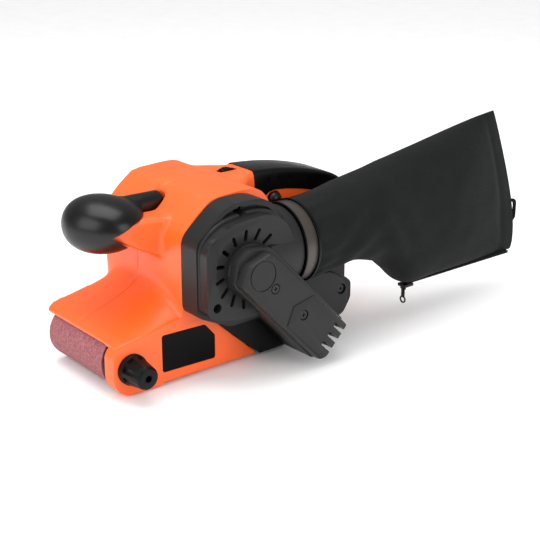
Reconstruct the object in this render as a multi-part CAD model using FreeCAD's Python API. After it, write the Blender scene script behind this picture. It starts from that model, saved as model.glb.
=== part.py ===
"""Handheld belt sander for a 76 x 410 mm belt, built as separate sub-parts.

Frame: +X towards the drive side, -Y towards the nose, +Z up, in millimetres.
The sub-parts are drawn from a datum under the motor. The last step moves them
along Y, so that the finished part's origin is the centre of the belt's flat
contact face, on the floor that the belt rests on.
"""
import FreeCAD
import Part
import math
import os

Vector = FreeCAD.Vector

# ---------------------------------------------------------------- driving sizes
BELT_WIDTH = 76.0
BELT_LENGTH = 410.0
BELT_THICKNESS = 0.9
ROLLER_RADIUS = 21.2
RUN_GAP = 0.05                      # radial clearance of every running fit

WALL = 2.6                          # moulded wall thickness
SPLIT_GAP = 0.3                     # air between parts that move past each other

FRONT_Y = -79.75                    # front roller's axis, from the datum
MOTOR_Y = -2.0                      # motor axis, parallel to X
MOTOR_Z = 89.0
SPIGOT_X = 59.0                     # dust spigot axis, parallel to Y
SPIGOT_Z = 90.0
SPIGOT_RADIUS = 28.4                # outside of the spigot under the bag adapter
BULGE_RADIUS = 31.5                 # outside of the duct that leads to the spigot
BULGE_Y = (30.0, 49.5)              # the duct's length; the spigot starts at its end
SPIGOT_END_Y = 72.0

TOOTH_PITCH = 3.0
MOTOR_TEETH = 14
DRIVEN_TEETH = 20
TOOTHED_BELT_X = (62.0, 72.0)       # the plane in which the toothed belt runs
TOOTHED_BELT_THICKNESS = 1.8


# ---------------------------------------------------------------- derived sizes
NEUTRAL_RADIUS = ROLLER_RADIUS + BELT_THICKNESS / 2.0
WHEELBASE = (BELT_LENGTH - 2.0 * math.pi * NEUTRAL_RADIUS) / 2.0
ROLLER_Z = ROLLER_RADIUS + RUN_GAP + BELT_THICKNESS
DRIVE_Y = FRONT_Y + WHEELBASE
ORIGIN_Y = (FRONT_Y + DRIVE_Y) / 2.0        # the finished part's origin, from the datum
HALF_BELT = BELT_WIDTH / 2.0
ROLLER_HALF = HALF_BELT - 1.0
MOTOR_PULLEY_RADIUS = MOTOR_TEETH * TOOTH_PITCH / (2.0 * math.pi)
DRIVEN_PULLEY_RADIUS = DRIVEN_TEETH * TOOTH_PITCH / (2.0 * math.pi)

# Planes across the machine, in order from the open side to the drive side.
BODY_FAR_X = -46.0                  # far face of the hood and the motor housing
FRAME_X = 41.2                      # inner face of the base frame's side plate
FRAME_PLATE = 3.6                   # thickness of that plate
SKIRT_X = 57.0                      # outer face of the orange side skirt
CASE_X = 57.3                       # inner face of the drive case
CASE_OUT_X = 77.5                   # where the drive case ends
COVER_FACE_X = 87.5                 # outer face of the motor side cover
BELT_COVER_X = 106.0                # outer face of the drive belt cover
HOOD_UNDER_Z = 45.6                 # underside of the hood, just over the belt


# ---------------------------------------------------------------- basic shapes
def box(x0, x1, y0, y1, z0, z1):
    """Box between two corners."""
    return Part.makeBox(x1 - x0, y1 - y0, z1 - z0, Vector(x0, y0, z0))


def cyl_x(x0, x1, y, z, radius):
    """Solid cylinder along X."""
    return Part.makeCylinder(radius, x1 - x0, Vector(x0, y, z), Vector(1, 0, 0))


def cyl_y(y0, y1, x, z, radius):
    """Solid cylinder along Y."""
    return Part.makeCylinder(radius, y1 - y0, Vector(x, y0, z), Vector(0, 1, 0))


def cyl_z(z0, z1, x, y, radius):
    """Solid cylinder along Z."""
    return Part.makeCylinder(radius, z1 - z0, Vector(x, y, z0), Vector(0, 0, 1))


def ring_x(x0, x1, y, z, outer, inner):
    """Ring about an axis along X."""
    return cyl_x(x0, x1, y, z, outer).cut(cyl_x(x0, x1, y, z, inner))


def ring_y(y0, y1, x, z, outer, inner):
    """Ring about an axis along Y."""
    return cyl_y(y0, y1, x, z, outer).cut(cyl_y(y0, y1, x, z, inner))


def cone_x(x0, x1, y, z, radius0, radius1):
    """Truncated cone along X."""
    return Part.makeCone(radius0, radius1, x1 - x0, Vector(x0, y, z), Vector(1, 0, 0))


def fuse(shapes):
    """One clean solid from overlapping shapes."""
    result = shapes[0]
    for shape in shapes[1:]:
        result = result.fuse(shape)
    return result.removeSplitter()


def about_x(shape, y, z, degrees):
    """Copy of a shape turned about an axis along X."""
    turned = shape.copy()
    turned.rotate(Vector(0, y, z), Vector(1, 0, 0), degrees)
    return turned


# ---------------------------------------------------------------- side outlines
def inset_outline(points, distance):
    """Move each edge of a closed (y, z, corner radius) outline inwards.

    The points run anticlockwise when seen from +X, with Y to the right.
    """
    count = len(points)
    moved = []
    for index in range(count):
        before = points[index - 1]
        here = points[index]
        after = points[(index + 1) % count]
        first = math.atan2(here[1] - before[1], here[0] - before[0])
        second = math.atan2(after[1] - here[1], after[0] - here[0])
        half_turn = (second - first) / 2.0
        bisector = first + half_turn + math.pi / 2.0
        step = distance / math.cos(half_turn)
        y = here[0] + step * math.cos(bisector)
        z = here[1] + step * math.sin(bisector)
        turn = math.atan2(math.sin(second - first), math.cos(second - first))
        change = -distance if turn > 0 else distance
        moved.append((y, z, max(here[2] + change, 0.0)))
    return moved


def outline_wire(points, x):
    """Wire in the plane X = x, with each corner rounded to its own radius."""
    count = len(points)
    starts = []
    ends = []
    middles = []
    for index in range(count):
        before = Vector(x, *points[index - 1][:2])
        here = Vector(x, *points[index][:2])
        after = Vector(x, *points[(index + 1) % count][:2])
        back = (before - here).normalize()
        ahead = (after - here).normalize()
        radius = points[index][2]
        half = back.getAngle(ahead) / 2.0
        if radius < 0.05 or half > math.radians(89.0):
            starts.append(here)
            ends.append(here)
            middles.append(None)
            continue
        tangent = radius / math.tan(half)
        centre = here + (back + ahead).normalize() * (radius / math.sin(half))
        starts.append(here + back * tangent)
        ends.append(here + ahead * tangent)
        middles.append(centre + (here - centre).normalize() * radius)
    edges = []
    for index in range(count):
        following = (index + 1) % count
        if middles[index] is not None:
            edges.append(Part.Arc(starts[index], middles[index], ends[index]).toShape())
        if (starts[following] - ends[index]).Length > 1e-4:
            edges.append(Part.LineSegment(ends[index], starts[following]).toShape())
    return Part.Wire(edges)


def prism(points, x0, x1):
    """Solid with one side outline, from x0 to x1."""
    face = Part.Face(outline_wire(points, x0))
    return face.extrude(Vector(x1 - x0, 0, 0))


def obround(y0, z0, radius0, y1, z1, radius1, x0, x1):
    """Solid around two circles and the straight tangents that join them."""
    along = math.atan2(z1 - z0, y1 - y0)
    length = math.hypot(y1 - y0, z1 - z0)
    lean = math.acos((radius0 - radius1) / length)
    tangents = []
    for sign in (1.0, -1.0):
        angle = along + sign * lean
        first = Vector(x0, y0 + radius0 * math.cos(angle), z0 + radius0 * math.sin(angle))
        second = Vector(x0, y1 + radius1 * math.cos(angle), z1 + radius1 * math.sin(angle))
        tangents.append((first, second))
    near_end = Vector(x0, y0 - radius0 * math.cos(along), z0 - radius0 * math.sin(along))
    far_end = Vector(x0, y1 + radius1 * math.cos(along), z1 + radius1 * math.sin(along))
    wire = Part.Wire([
        Part.LineSegment(tangents[0][0], tangents[0][1]).toShape(),
        Part.Arc(tangents[0][1], far_end, tangents[1][1]).toShape(),
        Part.LineSegment(tangents[1][1], tangents[1][0]).toShape(),
        Part.Arc(tangents[1][0], near_end, tangents[0][0]).toShape(),
    ])
    return Part.Face(wire).extrude(Vector(x1 - x0, 0, 0))


# ---------------------------------------------------------------- sanding unit
def sanding_belt():
    """Closed abrasive belt round both rollers and under the platen."""
    inner = ROLLER_RADIUS + RUN_GAP
    outer = inner + BELT_THICKNESS
    loop = obround(FRONT_Y, ROLLER_Z, outer, DRIVE_Y, ROLLER_Z, outer, -HALF_BELT, HALF_BELT)
    hole = obround(FRONT_Y, ROLLER_Z, inner, DRIVE_Y, ROLLER_Z, inner, -HALF_BELT, HALF_BELT)
    return loop.cut(hole)


PLATEN_Y = (-57.0, 34.0)            # ends of the platen between the rollers
PAD_Z = (BELT_THICKNESS + 0.05, 2.4)
PLATEN_Z = (2.4, 3.6)
FRAME_TOP = 38.0


def platen_pad():
    """Graphite-faced cork pad that the belt slides on."""
    return box(-36.0, 36.0, *PLATEN_Y, *PAD_Z)


def platen():
    """Steel sheet over the pad, with its ends turned up."""
    sheet = box(-36.0, 36.0, *PLATEN_Y, *PLATEN_Z)
    front = box(-36.0, 36.0, PLATEN_Y[0], PLATEN_Y[0] + 1.2, PLATEN_Z[0], 8.0)
    rear = box(-36.0, 36.0, PLATEN_Y[1] - 1.2, PLATEN_Y[1], PLATEN_Z[0], 8.0)
    return fuse([sheet, front, rear])


SLIDE_Z = 22.0                      # height of the tension slide in the frame
SLIDE_HALF = 7.0                    # half of its square section
YOKE_PIVOT_Y = -52.0                # upright pivot of the roller yoke


def base_frame():
    """Die-cast frame: a hollow block inside the belt loop and one side plate."""
    floor_z = PLATEN_Z[1] + 3.0
    block = box(-34.0, FRAME_X, -38.0, 30.0, PLATEN_Z[1], FRAME_TOP)
    channel = box(-SLIDE_HALF - 0.1, SLIDE_HALF + 0.1, -38.0, 8.0,
                  SLIDE_Z - SLIDE_HALF - 0.1, SLIDE_Z + SLIDE_HALF + 0.1)
    pockets = [
        box(-30.0, FRAME_X - 4.0, 12.0, 26.0, floor_z, FRAME_TOP),
        box(-30.0, -SLIDE_HALF - 3.1, -34.0, 8.0, floor_z, FRAME_TOP),
        box(SLIDE_HALF + 3.1, FRAME_X - 4.0, -34.0, 8.0, floor_z, FRAME_TOP),
    ]
    lever_bay = box(-34.0, -30.0, -16.0, 30.0, 14.0, 30.0)
    for cutter in pockets + [channel, lever_bay]:
        block = block.cut(cutter)
    pin_x, pin_y = LEVER_PIVOT
    lugs = [box(-34.0, pin_x + 6.0, pin_y - 6.0, pin_y + 6.0, floor_z, LEVER_Z[0] - SPLIT_GAP),
            box(-34.0, pin_x + 6.0, pin_y - 6.0, pin_y + 6.0, LEVER_Z[1] + SPLIT_GAP, FRAME_TOP)]
    plate_outline = [
        (-98.0, 6.0, 12.0), (75.0, 6.0, 12.0), (75.0, 41.0, 12.0), (-98.0, 41.0, 12.0)]
    plate = prism(plate_outline, FRAME_X, FRAME_X + FRAME_PLATE)
    boss = cyl_x(FRAME_X, CASE_X - 0.1, DRIVE_Y, ROLLER_Z, 17.0)
    frame = fuse([block, plate, boss] + lugs)
    holes = [
        cyl_x(FRAME_X, CASE_X, DRIVE_Y, ROLLER_Z, 14.0),
        cyl_x(FRAME_X, FRAME_X + FRAME_PLATE, KNOB_Y, KNOB_Z, 4.6),
        cyl_z(LEVER_Z[0] - 9.0, LEVER_Z[1] + 9.0, pin_x, pin_y, LEVER_PIN_RADIUS),
    ]
    holes += [cyl_z(PLATEN_Z[1], floor_z, x, y, 2.0) for x, y in platen_screw_places()]
    holes += [cyl_x(FRAME_X, FRAME_X + FRAME_PLATE, y, z, FRAME_SCREW_RADIUS)
              for y, z in FRAME_SCREWS]
    for hole in holes:
        frame = frame.cut(hole)
    return frame


FRAME_SCREW_RADIUS = 1.75
FRAME_SCREWS = [(-44.0, 35.0), (-44.0, 11.0), (35.0, 36.0), (35.0, 9.5)]


def frame_screws():
    """Four screws that hold the frame's side plate to the housing and the drive case."""
    screws = []
    for y, z in FRAME_SCREWS:
        head = cyl_x(FRAME_X - 2.0, FRAME_X, y, z, 3.4)
        shank = cyl_x(FRAME_X, SKIRT_X - WALL - 1.0, y, z, FRAME_SCREW_RADIUS)
        cross = box(FRAME_X - 2.0, FRAME_X - 1.0, y - 0.4, y + 0.4, z - 1.9, z + 1.9)
        screws.append(fuse([head, shank]).cut(cross).cut(about_x(cross, y, z, 90.0)))
    return Part.makeCompound(screws)


def platen_screw_places():
    """Centres of the four screws that hold the platen."""
    return [(x, y) for x in (-20.0, 24.0) for y in (-26.0, 18.0)]


def platen_screws():
    """Pan-head screws inside the frame block, driven down into the platen."""
    screws = []
    for x, y in platen_screw_places():
        head = cyl_z(PLATEN_Z[1] + 3.0, PLATEN_Z[1] + 5.2, x, y, 3.6)
        shank = cyl_z(PLATEN_Z[1], PLATEN_Z[1] + 3.0, x, y, 2.0)
        cross = box(x - 1.8, x + 1.8, y - 0.4, y + 0.4, PLATEN_Z[1] + 4.2, PLATEN_Z[1] + 5.2)
        screws.append(fuse([head, shank]).cut(cross))
    return Part.makeCompound(screws)


def tension_slide():
    """Square slide that carries the yoke pivot and pushes the roller forward."""
    bar = box(-SLIDE_HALF, SLIDE_HALF, -46.0, -8.0, SLIDE_Z - SLIDE_HALF, SLIDE_Z + SLIDE_HALF)
    tongue = box(-SLIDE_HALF, SLIDE_HALF, -58.0, -46.0, SLIDE_Z - 3.0, SLIDE_Z + 3.0)
    guide = cyl_y(-8.0, -2.0, 0.0, SLIDE_Z, 3.0)
    slide = fuse([bar, tongue, guide])
    pin = cyl_z(SLIDE_Z - 9.0, SLIDE_Z + 9.0, 0.0, YOKE_PIVOT_Y, 2.5)
    return fuse([slide, pin])


def tension_spring():
    """Spring between the slide and its channel's end: closed turns joined by short bars."""
    turn_radius = 5.0
    wire = 0.7
    first = -7.7 + wire
    pitch = (7.9 - wire - first) / 5.0
    parts = []
    for index in range(6):
        y = first + index * pitch
        parts.append(Part.makeTorus(turn_radius, wire, Vector(0, y, SLIDE_Z), Vector(0, 1, 0)))
        side = turn_radius if index % 2 == 0 else -turn_radius
        if index < 5:
            parts.append(cyl_y(y, y + pitch, side, SLIDE_Z, wire * 0.7))
    return fuse(parts)


def roller_yoke():
    """Fork that holds the front axle and turns a little about its pivot."""
    reach = (FRONT_Y - 7.0, YOKE_PIVOT_Y + 5.0)
    arm_z = (ROLLER_Z - 7.0, ROLLER_Z + 7.0)
    near = box(ROLLER_HALF + 1.0, FRAME_X - 0.8, reach[0], reach[1], *arm_z)
    far = box(-FRAME_X + 0.8, -ROLLER_HALF - 1.0, reach[0], reach[1], *arm_z)
    bridges = []
    for z0 in (SLIDE_Z - 7.0, SLIDE_Z + 3.4):
        bridge = box(-ROLLER_HALF - 2.0, ROLLER_HALF + 2.0, YOKE_PIVOT_Y - 4.0,
                     YOKE_PIVOT_Y + 5.0, z0, z0 + 3.6)
        bridges.append(bridge)
    yoke = fuse([near, far] + bridges)
    yoke = yoke.cut(cyl_z(0.0, 60.0, 0.0, YOKE_PIVOT_Y, 2.5 + RUN_GAP))
    return yoke.cut(cyl_x(-50.0, 50.0, FRONT_Y, ROLLER_Z, 4.0))


def front_axle():
    """Steel axle held in the yoke."""
    return cyl_x(-FRAME_X + 0.8, FRAME_X - 0.8, FRONT_Y, ROLLER_Z, 4.0)


def front_roller():
    """Idler roller: a drum with a web, bored for its two bearings."""
    drum = ring_x(-ROLLER_HALF, ROLLER_HALF, FRONT_Y, ROLLER_Z, ROLLER_RADIUS, 17.0)
    web = ring_x(-20.0, 20.0, FRONT_Y, ROLLER_Z, 17.0, 6.0)
    seats = [ring_x(-32.0, -20.0, FRONT_Y, ROLLER_Z, 17.0, 11.0),
             ring_x(20.0, 32.0, FRONT_Y, ROLLER_Z, 17.0, 11.0)]
    return fuse([drum, web] + seats)


def front_roller_bearings():
    """Two sleeve bearings that turn with the roller on its axle."""
    bore = 4.0 + RUN_GAP
    rings = [ring_x(-30.0, -20.0, FRONT_Y, ROLLER_Z, 11.0, bore),
             ring_x(20.0, 30.0, FRONT_Y, ROLLER_Z, 11.0, bore)]
    return Part.makeCompound(rings)


def drive_roller_core():
    """Aluminium core of the driving roller, spoked between rim and hub."""
    hub = ring_x(-34.0, ROLLER_HALF, DRIVE_Y, ROLLER_Z, 9.0, 6.0)
    rim = ring_x(-ROLLER_HALF, ROLLER_HALF, DRIVE_Y, ROLLER_Z, 18.4, 15.6)
    web = ring_x(-4.0, 4.0, DRIVE_Y, ROLLER_Z, 15.6, 9.0)
    ribs = []
    for index in range(6):
        rib = box(-30.0, 30.0, DRIVE_Y - 1.2, DRIVE_Y + 1.2, ROLLER_Z + 8.6, ROLLER_Z + 16.0)
        ribs.append(about_x(rib, DRIVE_Y, ROLLER_Z, 60.0 * index))
    return fuse([hub, rim, web] + ribs)


def drive_roller_sleeve():
    """Rubber sleeve that grips the belt."""
    return ring_x(-ROLLER_HALF, ROLLER_HALF, DRIVE_Y, ROLLER_Z, ROLLER_RADIUS, 18.4)


def drive_shaft():
    """Stepped shaft from the roller to the driven pulley."""
    inner = cyl_x(-34.0, 60.6, DRIVE_Y, ROLLER_Z, 6.0)
    outer = cyl_x(60.6, 74.5, DRIVE_Y, ROLLER_Z, 5.0)
    return fuse([inner, outer])


def drive_bearings():
    """Two ball bearings in the frame's boss, shown as plain rings."""
    bore = 6.0 + RUN_GAP
    rings = [ring_x(FRAME_X + 0.4, 48.8, DRIVE_Y, ROLLER_Z, 14.0, bore),
             ring_x(49.6, 56.8, DRIVE_Y, ROLLER_Z, 14.0, bore)]
    return Part.makeCompound(rings)


# ---------------------------------------------------------------- tracking and tension controls
KNOB_Y = -88.0
KNOB_Z = 22.5
KNOB_X = (57.6, 80.0)


def tracking_knob():
    """Fluted conical knob on the side skirt."""
    body = cone_x(KNOB_X[0], KNOB_X[1] - 2.0, KNOB_Y, KNOB_Z, 11.5, 8.6)
    nose = cone_x(KNOB_X[1] - 2.0, KNOB_X[1], KNOB_Y, KNOB_Z, 8.6, 6.6)
    knob = fuse([body, nose])
    for index in range(8):
        flute = cyl_x(KNOB_X[0] + 5.0, KNOB_X[1], KNOB_Y, KNOB_Z + 13.0, 3.6)
        knob = knob.cut(about_x(flute, KNOB_Y, KNOB_Z, 45.0 * index))
    socket = cyl_x(KNOB_X[1] - 6.0, KNOB_X[1], KNOB_Y, KNOB_Z, 2.6)
    return knob.cut(socket).cut(cyl_x(KNOB_X[0], KNOB_X[0] + 12.0, KNOB_Y, KNOB_Z, 3.0))


def tracking_screw():
    """Screw with a conical tip that sets the yoke's angle."""
    shank = cyl_x(43.0, KNOB_X[0] + 12.0, KNOB_Y, KNOB_Z, 3.0)
    tip = cone_x(41.4, 43.0, KNOB_Y, KNOB_Z, 1.4, 3.0)
    return fuse([shank, tip])


LEVER_PIVOT = (-31.8, -10.0)        # x, y of the tension lever's upright pin
LEVER_Z = (17.0, 27.0)
LEVER_PIN_RADIUS = 2.0
LEVER_LENGTH = 34.0


def tension_lever():
    """Flat lever on the open side that takes the tension off the belt."""
    x, y = LEVER_PIVOT
    eye = cyl_z(*LEVER_Z, x, y, 4.6)
    blade = box(x - 4.6, x - 1.4, y, y + LEVER_LENGTH, *LEVER_Z)
    tip = cyl_z(*LEVER_Z, x - 3.0, y + LEVER_LENGTH, 2.6)
    bore = cyl_z(*LEVER_Z, x, y, LEVER_PIN_RADIUS + RUN_GAP)
    return fuse([eye, blade, tip]).cut(bore)


def lever_pin():
    """Upright pin through the lever, held at both ends by the frame."""
    x, y = LEVER_PIVOT
    return cyl_z(LEVER_Z[0] - 9.0, LEVER_Z[1] + 9.0, x, y, LEVER_PIN_RADIUS)


# ---------------------------------------------------------------- toothed belt drive
def toothed_pulley(y, z, teeth, bore):
    """Pulley with straight teeth between two flanges."""
    x0, x1 = TOOTHED_BELT_X
    radius = teeth * TOOTH_PITCH / (2.0 * math.pi)
    body = ring_x(x0, x1, y, z, radius - 0.4, bore)
    flange_in = ring_x(x0 - 1.0, x0 - 0.3, y, z, radius + 2.6, bore)
    flange_out = ring_x(x1 + 0.3, x1 + 1.0, y, z, radius + 2.6, bore)
    hub_in = ring_x(x0 - 0.3, x0, y, z, radius - 0.4, bore)
    hub_out = ring_x(x1, x1 + 0.3, y, z, radius - 0.4, bore)
    for index in range(teeth):
        groove = cyl_x(x0, x1, y, z + radius - 0.2, 0.7)
        body = body.cut(about_x(groove, y, z, 360.0 * index / teeth))
    return fuse([body, hub_in, hub_out, flange_in, flange_out])


def motor_pulley():
    """Small pulley on the motor shaft."""
    return toothed_pulley(MOTOR_Y, MOTOR_Z, MOTOR_TEETH, 4.0)


def driven_pulley():
    """Larger pulley on the drive roller's shaft."""
    return toothed_pulley(DRIVE_Y, ROLLER_Z, DRIVEN_TEETH, 5.0)


def toothed_belt():
    """Endless belt between the two pulleys."""
    x0, x1 = TOOTHED_BELT_X
    small = MOTOR_PULLEY_RADIUS - 0.1
    large = DRIVEN_PULLEY_RADIUS - 0.1
    thick = TOOTHED_BELT_THICKNESS
    outer = obround(MOTOR_Y, MOTOR_Z, small + thick, DRIVE_Y, ROLLER_Z, large + thick, x0, x1)
    inner = obround(MOTOR_Y, MOTOR_Z, small, DRIVE_Y, ROLLER_Z, large, x0, x1)
    return outer.cut(inner)


# ---------------------------------------------------------------- motor
STACK_X = (-26.0, 12.0)             # iron stack of the motor
STATOR_RADIUS = 30.6
STATOR_BORE = 20.4
ARMATURE_RADIUS = 19.8
COIL_BORE = 21.4
COIL_OUTER = 26.4


def sector(x0, x1, outer, inner, middle, spread):
    """Part of a ring about the motor axis, centred on an angle in degrees."""
    ring = ring_x(x0, x1, MOTOR_Y, MOTOR_Z, outer, inner)
    reach = outer * 2.0
    corners = [Vector(x0, MOTOR_Y, MOTOR_Z)]
    for angle in (middle - spread, middle, middle + spread):
        radians = math.radians(angle)
        corners.append(Vector(x0, MOTOR_Y + reach * math.cos(radians),
                              MOTOR_Z + reach * math.sin(radians)))
    corners.append(corners[0])
    wedge = Part.Face(Part.makePolygon(corners)).extrude(Vector(x1 - x0, 0, 0))
    return ring.common(wedge)


def coil_sides(x0, x1):
    """The four straight coil sides that lie in the stator's pockets."""
    return [sector(x0, x1, COIL_OUTER, COIL_BORE, angle, 13.0) for angle in (35, 145, 215, 325)]


def stator_core():
    """Laminated stator with pockets for the field coils."""
    core = ring_x(STACK_X[0], STACK_X[1], MOTOR_Y, MOTOR_Z, STATOR_RADIUS, STATOR_BORE)
    for side in coil_sides(STACK_X[0], STACK_X[1]):
        core = core.cut(side)
    return core


def field_coils():
    """Two field coils, one over each pole, with rounded end turns."""
    coils = []
    sides = coil_sides(STACK_X[0] - 6.0, STACK_X[1] + 6.0)
    for middle, pair in ((90, sides[:2]), (270, sides[2:])):
        ends = [sector(x0, x0 + 6.0, COIL_OUTER, COIL_BORE, middle, 60.0)
                for x0 in (STACK_X[0] - 6.0, STACK_X[1])]
        coils.append(fuse(pair + ends))
    return Part.makeCompound(coils)


def slot_bar(x0, x1, index):
    """One winding bar's space in the armature."""
    bar = box(x0, x1, MOTOR_Y - 1.6, MOTOR_Y + 1.6, MOTOR_Z + 10.0, MOTOR_Z + 18.2)
    return about_x(bar, MOTOR_Y, MOTOR_Z, 30.0 * index)


def armature_core():
    """Laminated armature with twelve winding slots."""
    core = ring_x(STACK_X[0], STACK_X[1], MOTOR_Y, MOTOR_Z, ARMATURE_RADIUS, 4.0)
    for index in range(12):
        mouth = box(STACK_X[0], STACK_X[1], MOTOR_Y - 0.8, MOTOR_Y + 0.8,
                    MOTOR_Z + 18.0, MOTOR_Z + 20.0)
        core = core.cut(slot_bar(STACK_X[0], STACK_X[1], index))
        core = core.cut(about_x(mouth, MOTOR_Y, MOTOR_Z, 30.0 * index))
    return core


def armature_windings():
    """Copper in the slots, joined by the end turns."""
    bars = [slot_bar(STACK_X[0], STACK_X[1], index) for index in range(12)]
    ends = [ring_x(STACK_X[0] - 6.5, STACK_X[0], MOTOR_Y, MOTOR_Z, 17.4, 6.0),
            ring_x(STACK_X[1], STACK_X[1] + 6.5, MOTOR_Y, MOTOR_Z, 17.4, 6.0)]
    return fuse(ends + bars)


def commutator():
    """Copper commutator with grooves between its bars."""
    x0, x1 = STACK_X[0] - 18.0, STACK_X[0] - 7.0
    drum = ring_x(x0, x1, MOTOR_Y, MOTOR_Z, 11.0, 4.0)
    for index in range(24):
        groove = box(x0, x1, MOTOR_Y - 0.25, MOTOR_Y + 0.25, MOTOR_Z + 10.0, MOTOR_Z + 12.0)
        drum = drum.cut(about_x(groove, MOTOR_Y, MOTOR_Z, 15.0 * index))
    return drum


def motor_shaft():
    """Motor shaft through armature, bearings and pulley."""
    return cyl_x(-62.0, 76.0, MOTOR_Y, MOTOR_Z, 4.0)


def motor_bearings():
    """Ball bearings at both ends of the armature, shown as plain rings."""
    bore = 4.0 + RUN_GAP
    rings = [ring_x(-60.0, -53.0, MOTOR_Y, MOTOR_Z, 9.5, bore),
             ring_x(43.0, 51.0, MOTOR_Y, MOTOR_Z, 13.0, bore)]
    return Part.makeCompound(rings)


def cooling_fan():
    """Radial fan between the stator and the drive end."""
    hub = ring_x(24.0, 36.0, MOTOR_Y, MOTOR_Z, 8.0, 4.0)
    plate = ring_x(34.0, 36.0, MOTOR_Y, MOTOR_Z, 27.0, 8.0)
    blades = []
    for index in range(11):
        blade = box(25.0, 34.4, MOTOR_Y - 0.8, MOTOR_Y + 0.8, MOTOR_Z + 13.0, MOTOR_Z + 27.0)
        blades.append(about_x(blade, MOTOR_Y, MOTOR_Z, 360.0 * index / 11.0))
    return fuse([hub, plate] + blades)


def fan_baffle():
    """Ring that guides the air from the motor into the fan."""
    return ring_x(20.0, 22.0, MOTOR_Y, MOTOR_Z, 30.6, 15.0)


def bearing_bracket():
    """Aluminium bracket that holds the drive-end bearing."""
    plate = ring_x(41.0, 45.0, MOTOR_Y, MOTOR_Z, 31.0, 13.0)
    boss = ring_x(41.0, 51.0, MOTOR_Y, MOTOR_Z, 16.0, 13.0)
    bracket = fuse([plate, boss])
    for index in range(6):
        window = cyl_x(41.0, 45.0, MOTOR_Y, MOTOR_Z + 23.5, 4.5)
        bracket = bracket.cut(about_x(window, MOTOR_Y, MOTOR_Z, 60.0 * index + 30.0))
    return bracket


def brush_holders():
    """Two square brass tubes that point at the commutator."""
    x0, x1 = STACK_X[0] - 17.0, STACK_X[0] - 8.0
    tubes = []
    for side in (1.0, -1.0):
        low, high = sorted((MOTOR_Y + side * 12.5, MOTOR_Y + side * 28.0))
        tube = box(x0, x1, low, high, MOTOR_Z - 5.0, MOTOR_Z + 5.0)
        tubes.append(tube.cut(box(x0 + 1.2, x1 - 1.2, low, high, MOTOR_Z - 3.8, MOTOR_Z + 3.8)))
    return Part.makeCompound(tubes)


def carbon_brushes():
    """Two brushes that slide in their holders."""
    x0, x1 = STACK_X[0] - 15.6, STACK_X[0] - 9.4
    brushes = []
    for side in (1.0, -1.0):
        low, high = sorted((MOTOR_Y + side * 11.3, MOTOR_Y + side * 22.0))
        brushes.append(box(x0, x1, low, high, MOTOR_Z - 3.6, MOTOR_Z + 3.6))
    return Part.makeCompound(brushes)


# ---------------------------------------------------------------- housing
HANDLE_HALF = 17.0                  # half width of the rear handle
REAR_X = (-40.0, 40.8)              # width of the low rear body


def hood_outline():
    """Side view of the hood that covers the belt, up to the motor."""
    return [(-99.0, 38.5, 0.6), (-96.6, 38.5, 0.0), (-96.2, HOOD_UNDER_Z, 6.0),
            (60.0, HOOD_UNDER_Z, 0.0), (60.0, 58.0, 4.0), (-44.0, 58.0, 10.0),
            (-66.0, 52.5, 20.0), (-94.0, 45.6, 5.0)]


def motor_outline():
    """Side view of the motor housing."""
    return [(-36.0, 47.0, 0.0), (36.0, 47.0, 0.0), (44.0, 60.0, 6.0), (44.0, 112.0, 10.0),
            (32.0, 137.0, 14.0), (-8.0, 138.0, 24.0), (-36.0, 118.0, 24.0)]


def handle_outline():
    """Side view of the whole handle, from the neck to the rear foot."""
    return [(34.0, 137.0, 0.0), (34.0, 100.0, 0.0), (64.0, 100.0, 8.0), (112.0, 99.0, 20.0),
            (138.0, 88.0, 16.0), (138.0, 62.0, 6.0), (126.0, 56.0, 4.0), (120.0, 47.0, 2.0),
            (140.0, 47.0, 8.0), (166.0, 66.0, 14.0), (168.0, 96.0, 26.0), (150.0, 117.0, 30.0),
            (112.0, 130.0, 60.0), (66.0, 137.0, 60.0)]


def rear_outline():
    """Side view of the low rear body above the drive roller."""
    return [(30.0, HOOD_UNDER_Z, 0.0), (126.0, HOOD_UNDER_Z, 3.0), (130.0, 52.0, 4.0),
            (124.0, 59.0, 6.0), (30.0, 59.0, 0.0)]


def housing_outer():
    """Outside of the orange housing as one closed solid."""
    hood = prism(hood_outline(), BODY_FAR_X, SKIRT_X)
    motor = prism(motor_outline(), -50.0, SKIRT_X)
    far_end = cyl_x(-56.0, -49.0, MOTOR_Y, MOTOR_Z, 37.0)
    handle = prism(handle_outline(), -HANDLE_HALF, HANDLE_HALF)
    rear = prism(rear_outline(), *REAR_X)
    return fuse([hood, motor, far_end, handle, rear])


def housing_inner():
    """Hollow inside of the housing, one wall smaller."""
    motor_room = prism(inset_outline(motor_outline(), WALL), -50.0 + WALL, SKIRT_X + 1.0)
    far_room = cyl_x(-57.0, -46.0, MOTOR_Y, MOTOR_Z, 37.0 - WALL)
    handle_room = prism(inset_outline(handle_outline(), WALL), -HANDLE_HALF + WALL,
                        HANDLE_HALF - WALL)
    neck_room = box(-12.0, 12.0, 30.0, 60.0, 104.0, 132.0)
    rear_room = prism(inset_outline(rear_outline(), WALL), REAR_X[0] + WALL, REAR_X[1] - WALL)
    return fuse([motor_room, far_room, handle_room, neck_room, rear_room])


def housing_shell():
    """Complete orange shell before it is split at the middle plane."""
    shell = housing_outer().cut(housing_inner())
    shell = fuse([shell, side_skirt(), grip_bracket()] + housing_bosses())
    for cutter in housing_cutters():
        shell = shell.cut(cutter)
    return shell


def skirt_outline():
    """Side view of the orange side skirt over the front roller's end."""
    return [(-103.0, 1.6, 20.0), (-62.0, 1.6, 1.0), (-60.0, 3.4, 1.0), (27.5, 3.4, 0.0),
            (-17.0, 43.0, 0.0), (-17.0, 58.0, 0.0), (-60.0, 50.0, 0.0), (-103.0, 40.0, 12.0)]


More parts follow.
